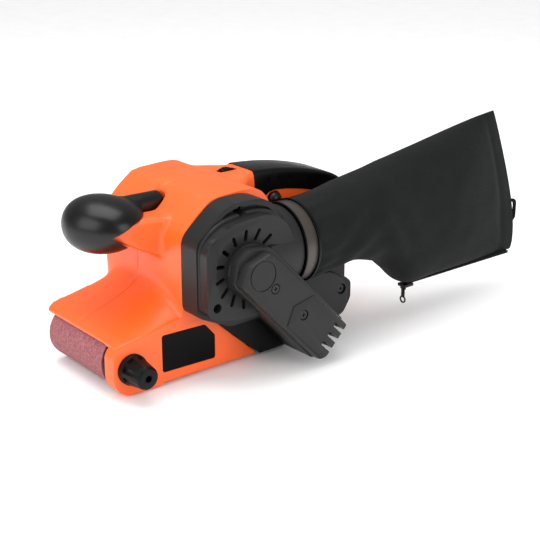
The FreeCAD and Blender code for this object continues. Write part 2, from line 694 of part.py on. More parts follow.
def side_skirt():
    """Skirt in front of the frame's side plate, open to the inside."""
    x0 = FRAME_X + FRAME_PLATE + 0.2
    skirt = prism(skirt_outline(), x0, SKIRT_X)
    room = prism(inset_outline(skirt_outline(), WALL), x0, SKIRT_X - WALL)
    return skirt.cut(room)


def housing_cutters():
    """Everything that is cut out of the shell."""
    cutters = [
        box(-6.2, 6.2, 70.0, 107.0, 90.0, 104.0),
        cyl_x(10.0, HANDLE_HALF + 1.0, LOCK_Y, LOCK_Z, 5.0 + SPLIT_GAP),
        cyl_x(-3.0 - SPLIT_GAP, 3.0 + SPLIT_GAP, DIAL_Y, DIAL_Z, 12.6),
        cyl_x(50.0, SKIRT_X + 1.0, KNOB_Y, KNOB_Z, 3.0 + RUN_GAP),
        cyl_y(20.0, 60.0, SPIGOT_X, SPIGOT_Z, BULGE_RADIUS + 0.2),
        cyl_y(-60.0, ARM_Y[1], 0.0, ARM_Z, ARM_RADIUS),
        cyl_y(150.0, 175.0, 0.0, GLAND_Z, GLAND_RADIUS),
        cyl_x(40.0, CASE_X, DRIVE_Y, ROLLER_Z, 17.3),
        grip_zone(),
        name_panel(),
    ]
    cutters += [cyl_x(44.0, 60.0, y, z, 1.6) for y, z in SIDE_COVER_SCREWS]
    cutters += [cyl_x(44.0, SKIRT_X - WALL - 1.0, y, z, FRAME_SCREW_RADIUS)
                for y, z in FRAME_SCREWS[:2]]
    return cutters


def housing_bosses():
    """Screw bosses that stand inside the shell on the drive side."""
    bosses = [cyl_x(45.2, SKIRT_X, y, z, 4.6) for y, z in SIDE_COVER_SCREWS]
    y, z = SIDE_COVER_SCREWS[2]
    bosses.append(box(45.2, SKIRT_X, y, y + 12.0, z - 1.2, z + 1.2))
    bosses += [cyl_x(FRAME_X + FRAME_PLATE, SKIRT_X - 1.0, y, z, 4.4)
               for y, z in FRAME_SCREWS[:2]]
    return bosses


GRIP_DEPTH = 1.8                    # the soft grip is set this deep into the handle


def grip_zone():
    """Skin of the handle that the soft grip takes up."""
    outer = prism(handle_outline(), -HANDLE_HALF, HANDLE_HALF)
    core = prism(inset_outline(handle_outline(), GRIP_DEPTH), -HANDLE_HALF + GRIP_DEPTH,
                 HANDLE_HALF - GRIP_DEPTH)
    zone_outline = [(70.0, 118.0, 0.0), (130.0, 108.0, 0.0), (150.0, 84.0, 0.0),
                    (150.0, 64.0, 0.0), (180.0, 64.0, 0.0), (180.0, 150.0, 0.0),
                    (70.0, 150.0, 0.0)]
    zone = prism(zone_outline, -HANDLE_HALF - 1.0, HANDLE_HALF + 1.0)
    return outer.cut(core).common(zone)


def handle_grip():
    """Soft black grip along the top and back of the handle."""
    grip = grip_zone().cut(cyl_y(150.0, 175.0, 0.0, GLAND_Z, GLAND_RADIUS))
    return grip.cut(cyl_y(GLAND_COLLAR_Y, 175.0, 0.0, GLAND_Z, GLAND_RADIUS + 1.8))


def housing_half(side):
    """One half of the housing: side is +1 for the drive side."""
    shell = housing_shell()
    reach = box(0.0, 120.0, -150.0, 220.0, -10.0, 180.0)
    if side < 0:
        reach = box(-120.0, 0.0, -150.0, 220.0, -10.0, 180.0)
    return shell.common(reach)


def motor_end_cap():
    """Vented black cap on the far end of the motor."""
    shell = cyl_x(-68.0, -56.0, MOTOR_Y, MOTOR_Z, 36.0)
    shell = shell.cut(cyl_x(-65.5, -56.0, MOTOR_Y, MOTOR_Z, 33.5))
    seat = ring_x(-65.5, -53.0, MOTOR_Y, MOTOR_Z, 11.5, 9.5)
    cap = fuse([shell, seat])
    for index in range(12):
        slot = box(-69.0, -65.0, MOTOR_Y - 1.3, MOTOR_Y + 1.3, MOTOR_Z + 15.0, MOTOR_Z + 29.0)
        cap = cap.cut(about_x(slot, MOTOR_Y, MOTOR_Z, 30.0 * index))
    return cap


def name_panel():
    """Bare black panel let into the side skirt."""
    outline = [(-60.5, 11.5, 2.0), (-12.5, 10.5, 2.0), (-12.5, 29.5, 2.0), (-21.5, 40.0, 2.0),
               (-60.5, 41.0, 2.0)]
    return prism(outline, SKIRT_X - 0.6, SKIRT_X + 0.3)


# ---------------------------------------------------------------- front grip
ARM_Y = (-62.0, -22.0)              # the arm that plugs the grip into the housing
ARM_Z = 124.0
ARM_RADIUS = 9.0
GRIP_HALF = 37.0                    # half width of the front grip


def grip_bracket():
    """Orange horn of the housing that reaches into the front grip."""
    outline = [(-70.0, 104.2, 1.0), (-57.0, 98.8, 1.0), (-33.0, 92.0, 0.0), (-33.0, 113.0, 0.0)]
    return prism(outline, -13.0, 13.0)


def front_grip():
    """Black front grip: a wide rounded knob, notched behind, with its arm."""
    side_view = [(-57.0, 97.2, 0.5), (-74.0, 104.0, 2.0), (-40.0, 113.4, 0.5),
                 (-41.0, 124.0, 4.0), (-54.0, 133.5, 14.0), (-80.0, 136.5, 16.0),
                 (-101.0, 124.0, 12.0), (-100.0, 107.0, 10.0), (-84.0, 96.0, 12.0)]
    knob = prism(side_view, -GRIP_HALF, GRIP_HALF)
    top_view = prism([(-102.0, -20.0, 24.0), (-38.0, -GRIP_HALF, 26.0),
                      (-38.0, GRIP_HALF, 26.0), (-102.0, 20.0, 24.0)], 0.0, 60.0)
    top_view.rotate(Vector(0, 0, 0), Vector(0, 1, 0), -90.0)
    top_view.translate(Vector(0, 0, 90.0))
    knob = knob.common(top_view)
    return fuse([knob, cyl_y(*ARM_Y, 0.0, ARM_Z, ARM_RADIUS)])


# ---------------------------------------------------------------- drive side covers
def side_cover_outline():
    """Side view of the cover over the motor's drive end."""
    return [(-38.5, 59.0, 4.0), (-12.0, 44.5, 3.0), (28.0, 44.5, 3.0), (43.0, 62.0, 6.0),
            (43.0, 106.0, 8.0), (30.0, 125.0, 10.0), (14.0, 134.5, 14.0), (-16.0, 133.0, 5.0),
            (-38.5, 111.0, 5.0)]


def case_plate_outline():
    """Side view of the black plate behind the orange skirt."""
    return [(-15.5, 43.6, 0.5), (29.0, 3.6, 0.5), (77.0, 4.0, 17.0), (77.0, 44.0, 4.0),
            (62.0, 56.0, 6.0), (44.0, 56.0, 1.0), (29.0, 43.6, 1.0)]


def case_tunnel_outline():
    """Side view of the deep walls round the toothed belt."""
    return [(-21.0, 82.0, 1.0), (52.0, 5.4, 3.0), (62.0, 5.4, 6.0), (73.5, 16.0, 9.0),
            (73.5, 28.0, 9.0), (9.2, 99.5, 1.0)]


def side_cover_solid(extra=0.0):
    """Outside of the motor side cover with its duct, as one solid."""
    body = prism(inset_outline(side_cover_outline(), -extra), SKIRT_X + 0.3 - extra,
                 COVER_FACE_X + extra)
    bulge = cyl_y(BULGE_Y[0], BULGE_Y[1] + extra, SPIGOT_X, SPIGOT_Z, BULGE_RADIUS + extra)
    return body.fuse(bulge)


def belt_passage():
    """Free way for the toothed belt between the covers."""
    return obround(MOTOR_Y, MOTOR_Z, 12.0, DRIVE_Y, ROLLER_Z, 12.75,
                   TOOTHED_BELT_X[0] - 1.6, TOOTHED_BELT_X[1] + 1.6)


def drive_case():
    """Lower black case round the toothed belt and the driven pulley."""
    plate = prism(case_plate_outline(), CASE_X, CASE_X + WALL)
    tunnel = prism(case_tunnel_outline(), CASE_X, CASE_OUT_X)
    room = prism(inset_outline(case_tunnel_outline(), WALL), CASE_X + WALL, CASE_OUT_X - WALL)
    case = tunnel.cut(room).cut(side_cover_solid(0.2)).fuse(plate)
    bosses = [cyl_x(FRAME_X + FRAME_PLATE, CASE_X + 1.0, y, z, 4.4) for y, z in FRAME_SCREWS[2:]]
    case = fuse([case] + bosses)
    case = case.cut(belt_passage())
    case = case.cut(cyl_x(CASE_X, CASE_X + WALL, DRIVE_Y, ROLLER_Z, 7.0))
    for y, z in FRAME_SCREWS[2:]:
        case = case.cut(cyl_x(44.0, SKIRT_X - WALL - 1.0, y, z, FRAME_SCREW_RADIUS))
    y, z = BELT_COVER_SCREWS[1]
    return case.cut(cyl_x(CASE_OUT_X - WALL, CASE_OUT_X, y, z, BELT_COVER_SHANK))


SIDE_COVER_SCREWS = [(-31.5, 65.0), (-2.0, 131.0), (28.0, 118.0)]
BELT_COVER_SCREWS = [(8.5, 76.0), (35.5, 48.5)]
BELT_COVER_SHANK = 1.7


def motor_side_cover():
    """Charcoal cover with radial slots, duct bulge and dust spigot."""
    spigot = cyl_y(BULGE_Y[1] - 1.0, SPIGOT_END_Y, SPIGOT_X, SPIGOT_Z, SPIGOT_RADIUS)
    outer = fuse([side_cover_solid(), spigot])
    room = prism(inset_outline(side_cover_outline(), WALL), SKIRT_X - 1.0, COVER_FACE_X - WALL)
    bulge_room = cyl_y(BULGE_Y[0] + WALL, BULGE_Y[1] - WALL, SPIGOT_X, SPIGOT_Z,
                       BULGE_RADIUS - WALL)
    bore = cyl_y(BULGE_Y[1] - WALL - 1.0, SPIGOT_END_Y, SPIGOT_X, SPIGOT_Z, SPIGOT_RADIUS - WALL)
    cover = outer.cut(room).cut(bulge_room).cut(bore)
    posts = [cyl_x(SKIRT_X + 0.3, COVER_FACE_X - 1.0, y, z, 5.2).common(outer)
             for y, z in SIDE_COVER_SCREWS]
    cover = fuse([cover] + posts)
    for y, z in SIDE_COVER_SCREWS:
        cover = cover.cut(cyl_x(62.0, COVER_FACE_X, y, z, 3.4))
        cover = cover.cut(cyl_x(SKIRT_X, 62.0, y, z, 1.6))
    for index in range(15):
        slot = box(COVER_FACE_X - WALL, COVER_FACE_X, MOTOR_Y - 1.2, MOTOR_Y + 1.2,
                   MOTOR_Z + 21.5, MOTOR_Z + 30.0)
        cover = cover.cut(about_x(slot, MOTOR_Y, MOTOR_Z, -10.0 - 19.0 * index))
    y, z = BELT_COVER_SCREWS[0]
    cover = cover.cut(cyl_x(COVER_FACE_X - WALL, COVER_FACE_X, y, z, BELT_COVER_SHANK))
    return cover.cut(belt_passage())


def belt_cover_outline():
    """Side view of the long cover that leads down to the drive roller."""
    return [(-13.0, 109.0, 3.0), (-21.0, 82.0, 4.0), (52.0, 5.4, 3.0), (60.0, 5.4, 2.0),
            (82.0, 28.0, 3.0), (5.0, 106.5, 3.0)]


def drive_belt_cover():
    """Outer cover, open to the inside, with three slots in its lower end."""
    outer = prism(belt_cover_outline(), CASE_OUT_X + 0.2, BELT_COVER_X)
    room = prism(inset_outline(belt_cover_outline(), WALL), CASE_OUT_X, BELT_COVER_X - WALL)
    cover = outer.cut(room)
    posts = [cyl_x(CASE_OUT_X + 0.2, BELT_COVER_X - 1.0, y, z, 4.8)
             for y, z in BELT_COVER_SCREWS]
    cover = fuse([cover] + posts).cut(side_cover_solid(0.2))
    for y, z in BELT_COVER_SCREWS:
        cover = cover.cut(cyl_x(BELT_COVER_X - 3.0, BELT_COVER_X, y, z, 3.6))
        cover = cover.cut(cyl_x(CASE_OUT_X, BELT_COVER_X, y, z, BELT_COVER_SHANK))
    for offset in (-9.0, 0.0, 9.0):
        slot = box(BELT_COVER_X - 14.0, BELT_COVER_X, -14.0, 4.0, -2.0, 2.0)
        slot.translate(Vector(0.0, 0.0, offset))
        slot.rotate(Vector(0, 0, 0), Vector(1, 0, 0), -45.0)
        slot.translate(Vector(0.0, 71.0, 16.7))
        cover = cover.cut(slot)
    return cover


def cover_screws():
    """Screws of the belt cover and of the motor side cover, as one group."""
    screws = [screw_x(62.0 + 2.2, y, z, 14.0, 3.2) for y, z in SIDE_COVER_SCREWS]
    lengths = (19.0, 26.0)
    for (y, z), length in zip(BELT_COVER_SCREWS, lengths):
        screws.append(screw_x(BELT_COVER_X - 0.8, y, z, length, 3.4))
    screws.append(screw_x(SKIRT_X + 2.0, *DUCT_SCREW, 11.0, 3.4))
    return Part.makeCompound(screws)


DUCT_SCREW = (114.0, 37.0)


def dust_duct():
    """Hollow black duct behind the drive roller, rising towards the spigot."""
    front = DRIVE_Y + ROLLER_RADIUS + BELT_THICKNESS + 1.5
    scoop = prism([(front, 12.0, 3.0), (118.0, 12.0, 12.0), (127.0, 26.0, 10.0),
                   (127.0, 40.0, 6.0), (121.0, 45.2, 1.0), (front, 45.2, 1.0)], -39.0, SKIRT_X)
    riser = box(41.4, SKIRT_X, 62.0, 120.0, 44.6, 56.0)
    scoop_room = prism([(front - 2.0, 14.6, 0.0), (116.6, 14.6, 9.4), (124.4, 26.8, 7.4),
                        (124.4, 40.0, 3.4), (120.0, 42.6, 1.0), (front - 2.0, 42.6, 0.0)],
                       -36.4, SKIRT_X - WALL)
    riser_room = box(44.0, SKIRT_X - WALL, 60.0, 117.4, 40.0, 53.4)
    duct = fuse([scoop, riser]).cut(scoop_room).cut(riser_room)
    post = cyl_x(45.0, SKIRT_X - 0.5, *DUCT_SCREW, 4.4)
    return fuse([duct, post]).cut(cyl_x(44.0, SKIRT_X, *DUCT_SCREW, 1.7))


# ---------------------------------------------------------------- fasteners
def screw_x(x, y, z, length, radius=3.2):
    """Pan-head screw driven along -X, its head's top at x."""
    head = cyl_x(x - 2.0, x, y, z, radius)
    shank = cyl_x(x - 2.0 - length, x - 2.0, y, z, radius * 0.5)
    cross = box(x - 0.9, x, y - 0.4, y + 0.4, z - 1.8, z + 1.8)
    return fuse([head, shank]).cut(cross).cut(about_x(cross, y, z, 90.0))


# ---------------------------------------------------------------- switch and dial
LOCK_Y = 78.0
LOCK_Z = 110.0
DIAL_Y = 43.0
DIAL_Z = 127.0
GLAND_Z = 84.0                      # cord inlet in the back of the handle
GLAND_RADIUS = 7.0
GLAND_COLLAR_Y = 165.7
INLET_RADIUS = 4.2
TRIGGER_PIVOT = (102.0, 104.5)
TRIGGER_SPRING = (82.0, 108.3, 117.6)


def trigger():
    """Long finger trigger under the front of the handle."""
    y, z = TRIGGER_PIVOT
    blade = prism([(72.0, 93.0, 3.0), (100.0, 96.5, 3.0), (105.0, 101.0, 2.0),
                   (105.0, 107.0, 2.0), (72.0, 108.0, 2.0)], -5.6, 5.6)
    return blade.cut(cyl_x(-8.0, 8.0, y, z, 1.5 + RUN_GAP))


def trigger_pin():
    """Steel pin that the trigger turns on."""
    y, z = TRIGGER_PIVOT
    return cyl_x(-HANDLE_HALF + WALL, HANDLE_HALF - WALL, y, z, 1.5)


def spring_z(x, y, z0, z1, radius, wire, turns):
    """Round-wire compression spring along Z."""
    height = z1 - z0 - 2.0 * wire
    helix = Part.Wire(Part.makeHelix(height / turns, height, radius))
    section = Part.Wire(Part.Circle(Vector(radius, 0, 0), Vector(0, 1, 0), wire).toShape())
    coil = helix.makePipeShell([section], True, True)
    coil.translate(Vector(x, y, z0 + wire))
    return coil


def trigger_spring():
    """Return spring between the trigger and the speed module."""
    y, low, high = TRIGGER_SPRING
    return spring_z(0.0, y, low, high, 2.6, 0.35, 5.0)


def switch_body():
    """Closed switch block behind the trigger, with its two terminals."""
    block = box(-9.0, 9.0, 108.0, 130.0, 103.5, 118.0)
    terminals = [box(x - 1.5, x + 1.5, 130.0, 134.0, 106.0, 112.0) for x in (-5.0, 5.0)]
    return fuse([block] + terminals)


def speed_module():
    """Speed control block over the trigger."""
    block = box(-9.0, 9.0, 64.0, 100.0, 118.0, 127.0)
    fins = [box(-9.0, 9.0, y, y + 1.2, 127.0, 130.0) for y in (68.0, 72.0, 76.0)]
    return fuse([block] + fins)


def lock_button():
    """Round domed button that holds the trigger in."""
    shaft = cyl_x(11.0, 19.6, LOCK_Y, LOCK_Z, 5.0)
    dome = cone_x(19.6, 21.6, LOCK_Y, LOCK_Z, 5.0, 3.4)
    stem = cyl_x(9.0, 11.0, LOCK_Y, LOCK_Z, 2.0)
    return fuse([shaft, dome, stem])


def speed_dial():
    """Thumb wheel that stands a little out of the neck."""
    wheel = ring_x(-3.0, 3.0, DIAL_Y, DIAL_Z, 12.0, 2.0 + RUN_GAP)
    for index in range(24):
        notch = cyl_x(-3.0, 3.0, DIAL_Y, DIAL_Z + 12.2, 0.8)
        wheel = wheel.cut(about_x(notch, DIAL_Y, DIAL_Z, 15.0 * index))
    return wheel


def dial_potentiometer():
    """Potentiometer with the spindle that carries the dial."""
    spindle = cyl_x(-5.0, 5.0, DIAL_Y, DIAL_Z, 2.0)
    can = cyl_x(4.6, 11.0, DIAL_Y, DIAL_Z, 7.0)
    return fuse([spindle, can])


def cord_inlet():
    """Black gland in the back of the handle with a clear bore for a cord."""
    sleeve = ring_y(150.0, 169.4, 0.0, GLAND_Z, GLAND_RADIUS, INLET_RADIUS)
    collar = ring_y(GLAND_COLLAR_Y, 169.4, 0.0, GLAND_Z, GLAND_RADIUS + 1.8, INLET_RADIUS)
    return fuse([sleeve, collar])


# ---------------------------------------------------------------- dust bag
ADAPTER_RADIUS = 31.8
ADAPTER_Y = (50.0, 76.0)
BAG_MOUTH_Y = 62.5
BAG_SEAM_Z = 26.0                   # the straight lower seam that carries the zip
ZIP_Y = (184.0, 316.0)


def bag_adapter():
    """Rigid sleeve that pushes over the spigot and carries the bag."""
    grip = ring_y(ADAPTER_Y[0], BAG_MOUTH_Y - 0.2, SPIGOT_X, SPIGOT_Z, ADAPTER_RADIUS,
                  SPIGOT_RADIUS + RUN_GAP)
    sleeve = ring_y(BAG_MOUTH_Y - 0.2, ADAPTER_Y[1], SPIGOT_X, SPIGOT_Z, ADAPTER_RADIUS - 1.6,
                    SPIGOT_RADIUS + RUN_GAP)
    return fuse([grip, sleeve])


def bag_hoop():
    """Elastic band that holds the fabric on the adapter."""
    return ring_y(66.0, 71.0, SPIGOT_X, SPIGOT_Z, ADAPTER_RADIUS + 0.5, ADAPTER_RADIUS - 0.4)


def bag_section(bottom, top, half_width, roundness, skin):
    """Rounded section of the bag through two (y, z) points, set in by its skin."""
    low = Vector(SPIGOT_X, *bottom)
    high = Vector(SPIGOT_X, *top)
    up = (high - low).normalize()
    low = low + up * skin
    high = high - up * skin
    half = max(half_width - skin, 0.6)
    middle = (low + high) * 0.5
    tall = (high - low).Length / 2.0
    radius = min(half, tall) * roundness
    across = Vector(1, 0, 0)
    diagonal = radius * (1.0 - math.sqrt(0.5))
    edges = []
    for side_x, side_z in ((1, 1), (-1, 1), (-1, -1), (1, -1)):
        on_side = middle + across * (side_x * half) + up * (side_z * (tall - radius))
        on_cap = middle + across * (side_x * (half - radius)) + up * (side_z * tall)
        bend = (middle + across * (side_x * (half - diagonal))
                + up * (side_z * (tall - diagonal)))
        pair = (on_side, on_cap) if side_x * side_z > 0 else (on_cap, on_side)
        edges.append(Part.Arc(pair[0], bend, pair[1]).toShape())
    wires = []
    for index, arc in enumerate(edges):
        following = edges[(index + 1) % 4]
        start = arc.Vertexes[-1].Point
        end = following.Vertexes[0].Point
        wires.append(arc)
        wires.append(Part.LineSegment(start, end).toShape())
    return Part.Wire(wires)


BAG_SECTIONS = [
    ((BAG_MOUTH_Y, 58.0), (BAG_MOUTH_Y, 122.0), 32.0, 0.96),
    ((108.0, 59.0), (104.0, 126.0), 31.0, 0.94),
    ((140.0, 54.0), (134.0, 132.0), 30.5, 0.92),
    ((166.0, 38.0), (162.0, 137.0), 29.5, 0.86),
    ((184.0, BAG_SEAM_Z), (182.0, 141.0), 28.0, 0.80),
    ((232.0, BAG_SEAM_Z), (226.0, 150.0), 24.0, 0.80),
    ((288.0, BAG_SEAM_Z), (262.0, 157.0), 13.0, 0.80),
    ((322.0, BAG_SEAM_Z), (286.0, 160.0), 3.4, 0.80),
]
BAG_SKIN = 1.4


def dust_bag():
    """Cloth bag: a thin hollow skin, open where it sits on the adapter."""
    outer = [bag_section(*section, 0.0) for section in BAG_SECTIONS]
    inner = [bag_section(*section, BAG_SKIN) for section in BAG_SECTIONS[:-1]]
    skin = Part.makeLoft(outer, True, True).cut(Part.makeLoft(inner, True, True))
    mouth = cyl_y(BAG_MOUTH_Y - 1.0, ADAPTER_Y[1], SPIGOT_X, SPIGOT_Z, ADAPTER_RADIUS - 1.6)
    return skin.cut(mouth).cut(bag_hoop())


def zip_slider():
    """Zip slider that runs along the tape."""
    y = ZIP_Y[0] + 5.0
    block = box(SPIGOT_X - 4.4, SPIGOT_X + 4.4, y - 5.0, y + 5.0, BAG_SEAM_Z - 4.4,
                BAG_SEAM_Z - 2.0)
    bridge = box(SPIGOT_X - 1.2, SPIGOT_X + 1.2, y - 4.0, y - 1.6, BAG_SEAM_Z - 7.4,
                 BAG_SEAM_Z - 4.4)
    return fuse([block, bridge]).cut(cyl_x(SPIGOT_X - 2.0, SPIGOT_X + 2.0, y - 2.8,
                                           BAG_SEAM_Z - 6.2, 0.7))


def zip_puller():
    """Puller that hangs from the slider."""
    y = ZIP_Y[0] + 2.2
    z = BAG_SEAM_Z - 6.2
    pin = cyl_x(SPIGOT_X - 2.8, SPIGOT_X + 2.8, y, z, 0.65)
    cheeks = [box(x - 0.6, x + 0.6, y - 0.8, y + 0.8, z - 4.0, z + 0.7)
              for x in (SPIGOT_X - 2.2, SPIGOT_X + 2.2)]
    tag = box(SPIGOT_X - 2.8, SPIGOT_X + 2.8, y - 0.6, y + 0.6, z - 13.0, z - 3.4)
    tag = tag.cut(cyl_y(y - 1.0, y + 1.0, SPIGOT_X, z - 10.6, 1.2))
    return fuse([pin, tag] + cheeks)


# ---------------------------------------------------------------- output
NODES = {
    "sanding_belt": sanding_belt,
    "platen_pad": platen_pad,
    "platen": platen,
    "base_frame": base_frame,
    "platen_screws": platen_screws,
    "frame_screws": frame_screws,
    "tension_slide": tension_slide,
    "tension_spring": tension_spring,
    "roller_yoke": roller_yoke,
    "front_axle": front_axle,
    "front_roller": front_roller,
    "front_roller_bearings": front_roller_bearings,
    "drive_roller_core": drive_roller_core,
    "drive_roller_sleeve": drive_roller_sleeve,
    "drive_shaft": drive_shaft,
    "drive_bearings": drive_bearings,
    "tracking_knob": tracking_knob,
    "tracking_screw": tracking_screw,
    "tension_lever": tension_lever,
    "lever_pin": lever_pin,
    "motor_pulley": motor_pulley,
    "driven_pulley": driven_pulley,
    "toothed_belt": toothed_belt,
    "stator_core": stator_core,
    "field_coils": field_coils,
    "armature_core": armature_core,
    "armature_windings": armature_windings,
    "commutator": commutator,
    "motor_shaft": motor_shaft,
    "motor_bearings": motor_bearings,
    "cooling_fan": cooling_fan,
    "fan_baffle": fan_baffle,
    "bearing_bracket": bearing_bracket,
    "brush_holders": brush_holders,
    "carbon_brushes": carbon_brushes,
    "housing_right": lambda: housing_half(1),
    "housing_left": lambda: housing_half(-1),
    "motor_end_cap": motor_end_cap,
    "name_panel": name_panel,
    "handle_grip": handle_grip,
    "front_grip": front_grip,
    "drive_case": drive_case,
    "motor_side_cover": motor_side_cover,
    "drive_belt_cover": drive_belt_cover,
    "dust_duct": dust_duct,
    "trigger": trigger,
    "trigger_pin": trigger_pin,
    "lock_button": lock_button,
    "trigger_spring": trigger_spring,
    "switch_body": switch_body,
    "speed_module": speed_module,
    "speed_dial": speed_dial,
    "dial_potentiometer": dial_potentiometer,
    "cord_inlet": cord_inlet,
    "cover_screws": cover_screws,
    "bag_adapter": bag_adapter,
    "bag_hoop": bag_hoop,
    "dust_bag": dust_bag,
    "zip_slider": zip_slider,
    "zip_puller": zip_puller,
}


def main():
    """Write every sub-part to its own STEP file."""
    os.makedirs("parts", exist_ok=True)
    for name, make in NODES.items():
        shape = make()
        shape.translate(Vector(0.0, -ORIGIN_Y, 0.0))
        shape.exportStep(os.path.join("parts", name + ".step"))
        print(name, "solids", len(shape.Solids), "volume cm3", round(shape.Volume / 1000.0, 2),
              "valid", shape.isValid())


main()
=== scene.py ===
# %% [markdown]
# # A handheld belt sander
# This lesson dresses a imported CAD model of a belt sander. The CAD part says where everything
# is and how it moves. Blender adds the sculpted orange shell, the softened covers, the glossy
# grips, the grit of the belt and the cloth of the dust bag. Each step explains the real piece
# first, and then the tool that was chosen for it.

# %% Load the frame
import math

import bmesh
import bpy
from mathutils import Matrix, Vector, noise


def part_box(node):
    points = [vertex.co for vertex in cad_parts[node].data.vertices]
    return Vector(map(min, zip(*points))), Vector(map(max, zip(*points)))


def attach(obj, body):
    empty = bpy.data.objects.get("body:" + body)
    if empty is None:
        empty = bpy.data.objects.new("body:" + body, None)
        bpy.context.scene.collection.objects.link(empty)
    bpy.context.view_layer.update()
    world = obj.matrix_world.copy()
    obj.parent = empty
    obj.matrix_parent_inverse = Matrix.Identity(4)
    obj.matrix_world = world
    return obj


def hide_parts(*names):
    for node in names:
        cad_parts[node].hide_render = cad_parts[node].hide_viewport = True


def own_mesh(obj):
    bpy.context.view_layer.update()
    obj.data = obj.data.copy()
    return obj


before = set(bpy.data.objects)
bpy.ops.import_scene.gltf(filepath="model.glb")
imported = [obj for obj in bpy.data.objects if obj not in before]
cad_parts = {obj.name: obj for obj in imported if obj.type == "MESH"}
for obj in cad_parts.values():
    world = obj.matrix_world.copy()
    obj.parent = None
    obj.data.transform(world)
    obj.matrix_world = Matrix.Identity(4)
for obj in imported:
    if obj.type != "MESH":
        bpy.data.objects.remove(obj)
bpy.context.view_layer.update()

# %% [markdown]
# ## One drawing scale
# The pieces are drawn in millimetres from a datum 2 mm behind the motor's axis, as on a
# workshop drawing: X runs across the machine, Y runs back and Z runs up. One helper at the
# end of each piece scales it to metres and sets it in the frame, so no number is typed twice.

# %% The datum, read from the motor shaft
MM = 0.001
MOTOR_Y = -2.0
shaft_low, shaft_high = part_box("motor_shaft")
MOTOR_Z = (shaft_low.z + shaft_high.z) / 2 / MM
MOTOR_CENTRE = (MOTOR_Y, MOTOR_Z)
DATUM_Y = (shaft_low.y + shaft_high.y) / 2 / MM - MOTOR_Y
TO_FRAME = Matrix.Scale(MM, 4) @ Matrix.Translation((0.0, DATUM_Y, 0.0))


def node_box(node):
    """Corners of a CAD node in the drawing's millimetres."""
    low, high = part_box(node)
    back = TO_FRAME.inverted()
    return back @ low, back @ high


roller_low, roller_high = node_box("drive_roller_sleeve")
ROLLER_Z = (roller_low.z + roller_high.z) / 2
print("motor axis Z", round(MOTOR_Z, 1), "roller axis Z", round(ROLLER_Z, 1))

# %% [markdown]
# ## Finishes
# Moulded plastic is never one flat colour. Its surface has a fine grain that breaks up the
# highlights, and its gloss wanders a little where the mould was polished by hand. One helper
# makes such a plastic: two noise textures on Object coordinates drive roughness and bump, and
# a Bevel node catches light along the edges of the parts that come straight from CAD.


# %% Shader helpers
def srgb(red, green, blue):
    """A colour given on a 0-255 scale, as the linear values that shaders use."""
    return tuple((c / 255.0) ** 2.2 for c in (red, green, blue)) + (1.0,)


def new_material(name):
    """An empty node material, its shader, and a short way to add and link nodes."""
    material = bpy.data.materials.new(name)
    material.use_nodes = True
    tree = material.node_tree
    shader = tree.nodes["Principled BSDF"]
    return material, tree, shader


def add_noise(tree, scale, detail=3.0, stretch=(1.0, 1.0, 1.0)):
    """A noise texture on Object coordinates, scaled in features per metre."""
    coordinates = tree.nodes.new("ShaderNodeTexCoord")
    mapping = tree.nodes.new("ShaderNodeMapping")
    mapping.inputs["Scale"].default_value = stretch
    texture = tree.nodes.new("ShaderNodeTexNoise")
    texture.inputs["Scale"].default_value = scale
    texture.inputs["Detail"].default_value = detail
    tree.links.new(coordinates.outputs["Object"], mapping.inputs["Vector"])
    tree.links.new(mapping.outputs["Vector"], texture.inputs["Vector"])
    return texture


def remap(tree, value, low, high):
    """Spread a 0-1 texture value between two numbers."""
    node = tree.nodes.new("ShaderNodeMapRange")
    node.inputs["From Min"].default_value = 0.3
    node.inputs["From Max"].default_value = 0.7
    node.inputs["To Min"].default_value = low
    node.inputs["To Max"].default_value = high
    tree.links.new(value, node.inputs["Value"])
    return node.outputs["Result"]


def tint(tree, value, dark, light):
    """Blend between two colours by a 0-1 texture value."""
    ramp = tree.nodes.new("ShaderNodeValToRGB")
    ramp.color_ramp.elements[0].position = 0.3
    ramp.color_ramp.elements[1].position = 0.7
    ramp.color_ramp.elements[0].color = dark
    ramp.color_ramp.elements[1].color = light
    tree.links.new(value, ramp.inputs["Fac"])
    return ramp.outputs["Color"]


def mix_colours(tree, first, second, factor):
    """Mix two colours. A Mix node's colour sockets are inputs 6 and 7 and output 2."""
    node = tree.nodes.new("ShaderNodeMix")
    node.data_type = "RGBA"
    node.inputs["Factor"].default_value = factor
    tree.links.new(first, node.inputs[6])
    tree.links.new(second, node.inputs[7])
    return node.outputs[2]


def add_bump(tree, shader, height, strength, distance, round_edges=0.0):
    """Bump from a height, over edges that a Bevel node rounds if a radius is given."""
    bump = tree.nodes.new("ShaderNodeBump")
    bump.inputs["Strength"].default_value = strength
    bump.inputs["Distance"].default_value = distance
    tree.links.new(height, bump.inputs["Height"])
    if round_edges > 0.0:
        edge = tree.nodes.new("ShaderNodeBevel")
        edge.samples = 4
        edge.inputs["Radius"].default_value = round_edges
        tree.links.new(edge.outputs["Normal"], bump.inputs["Normal"])
    tree.links.new(bump.outputs["Normal"], shader.inputs["Normal"])


def shade(colour, factor):
    """A lighter or darker version of a colour."""
    return tuple(min(c * factor, 1.0) for c in colour[:3]) + (1.0,)


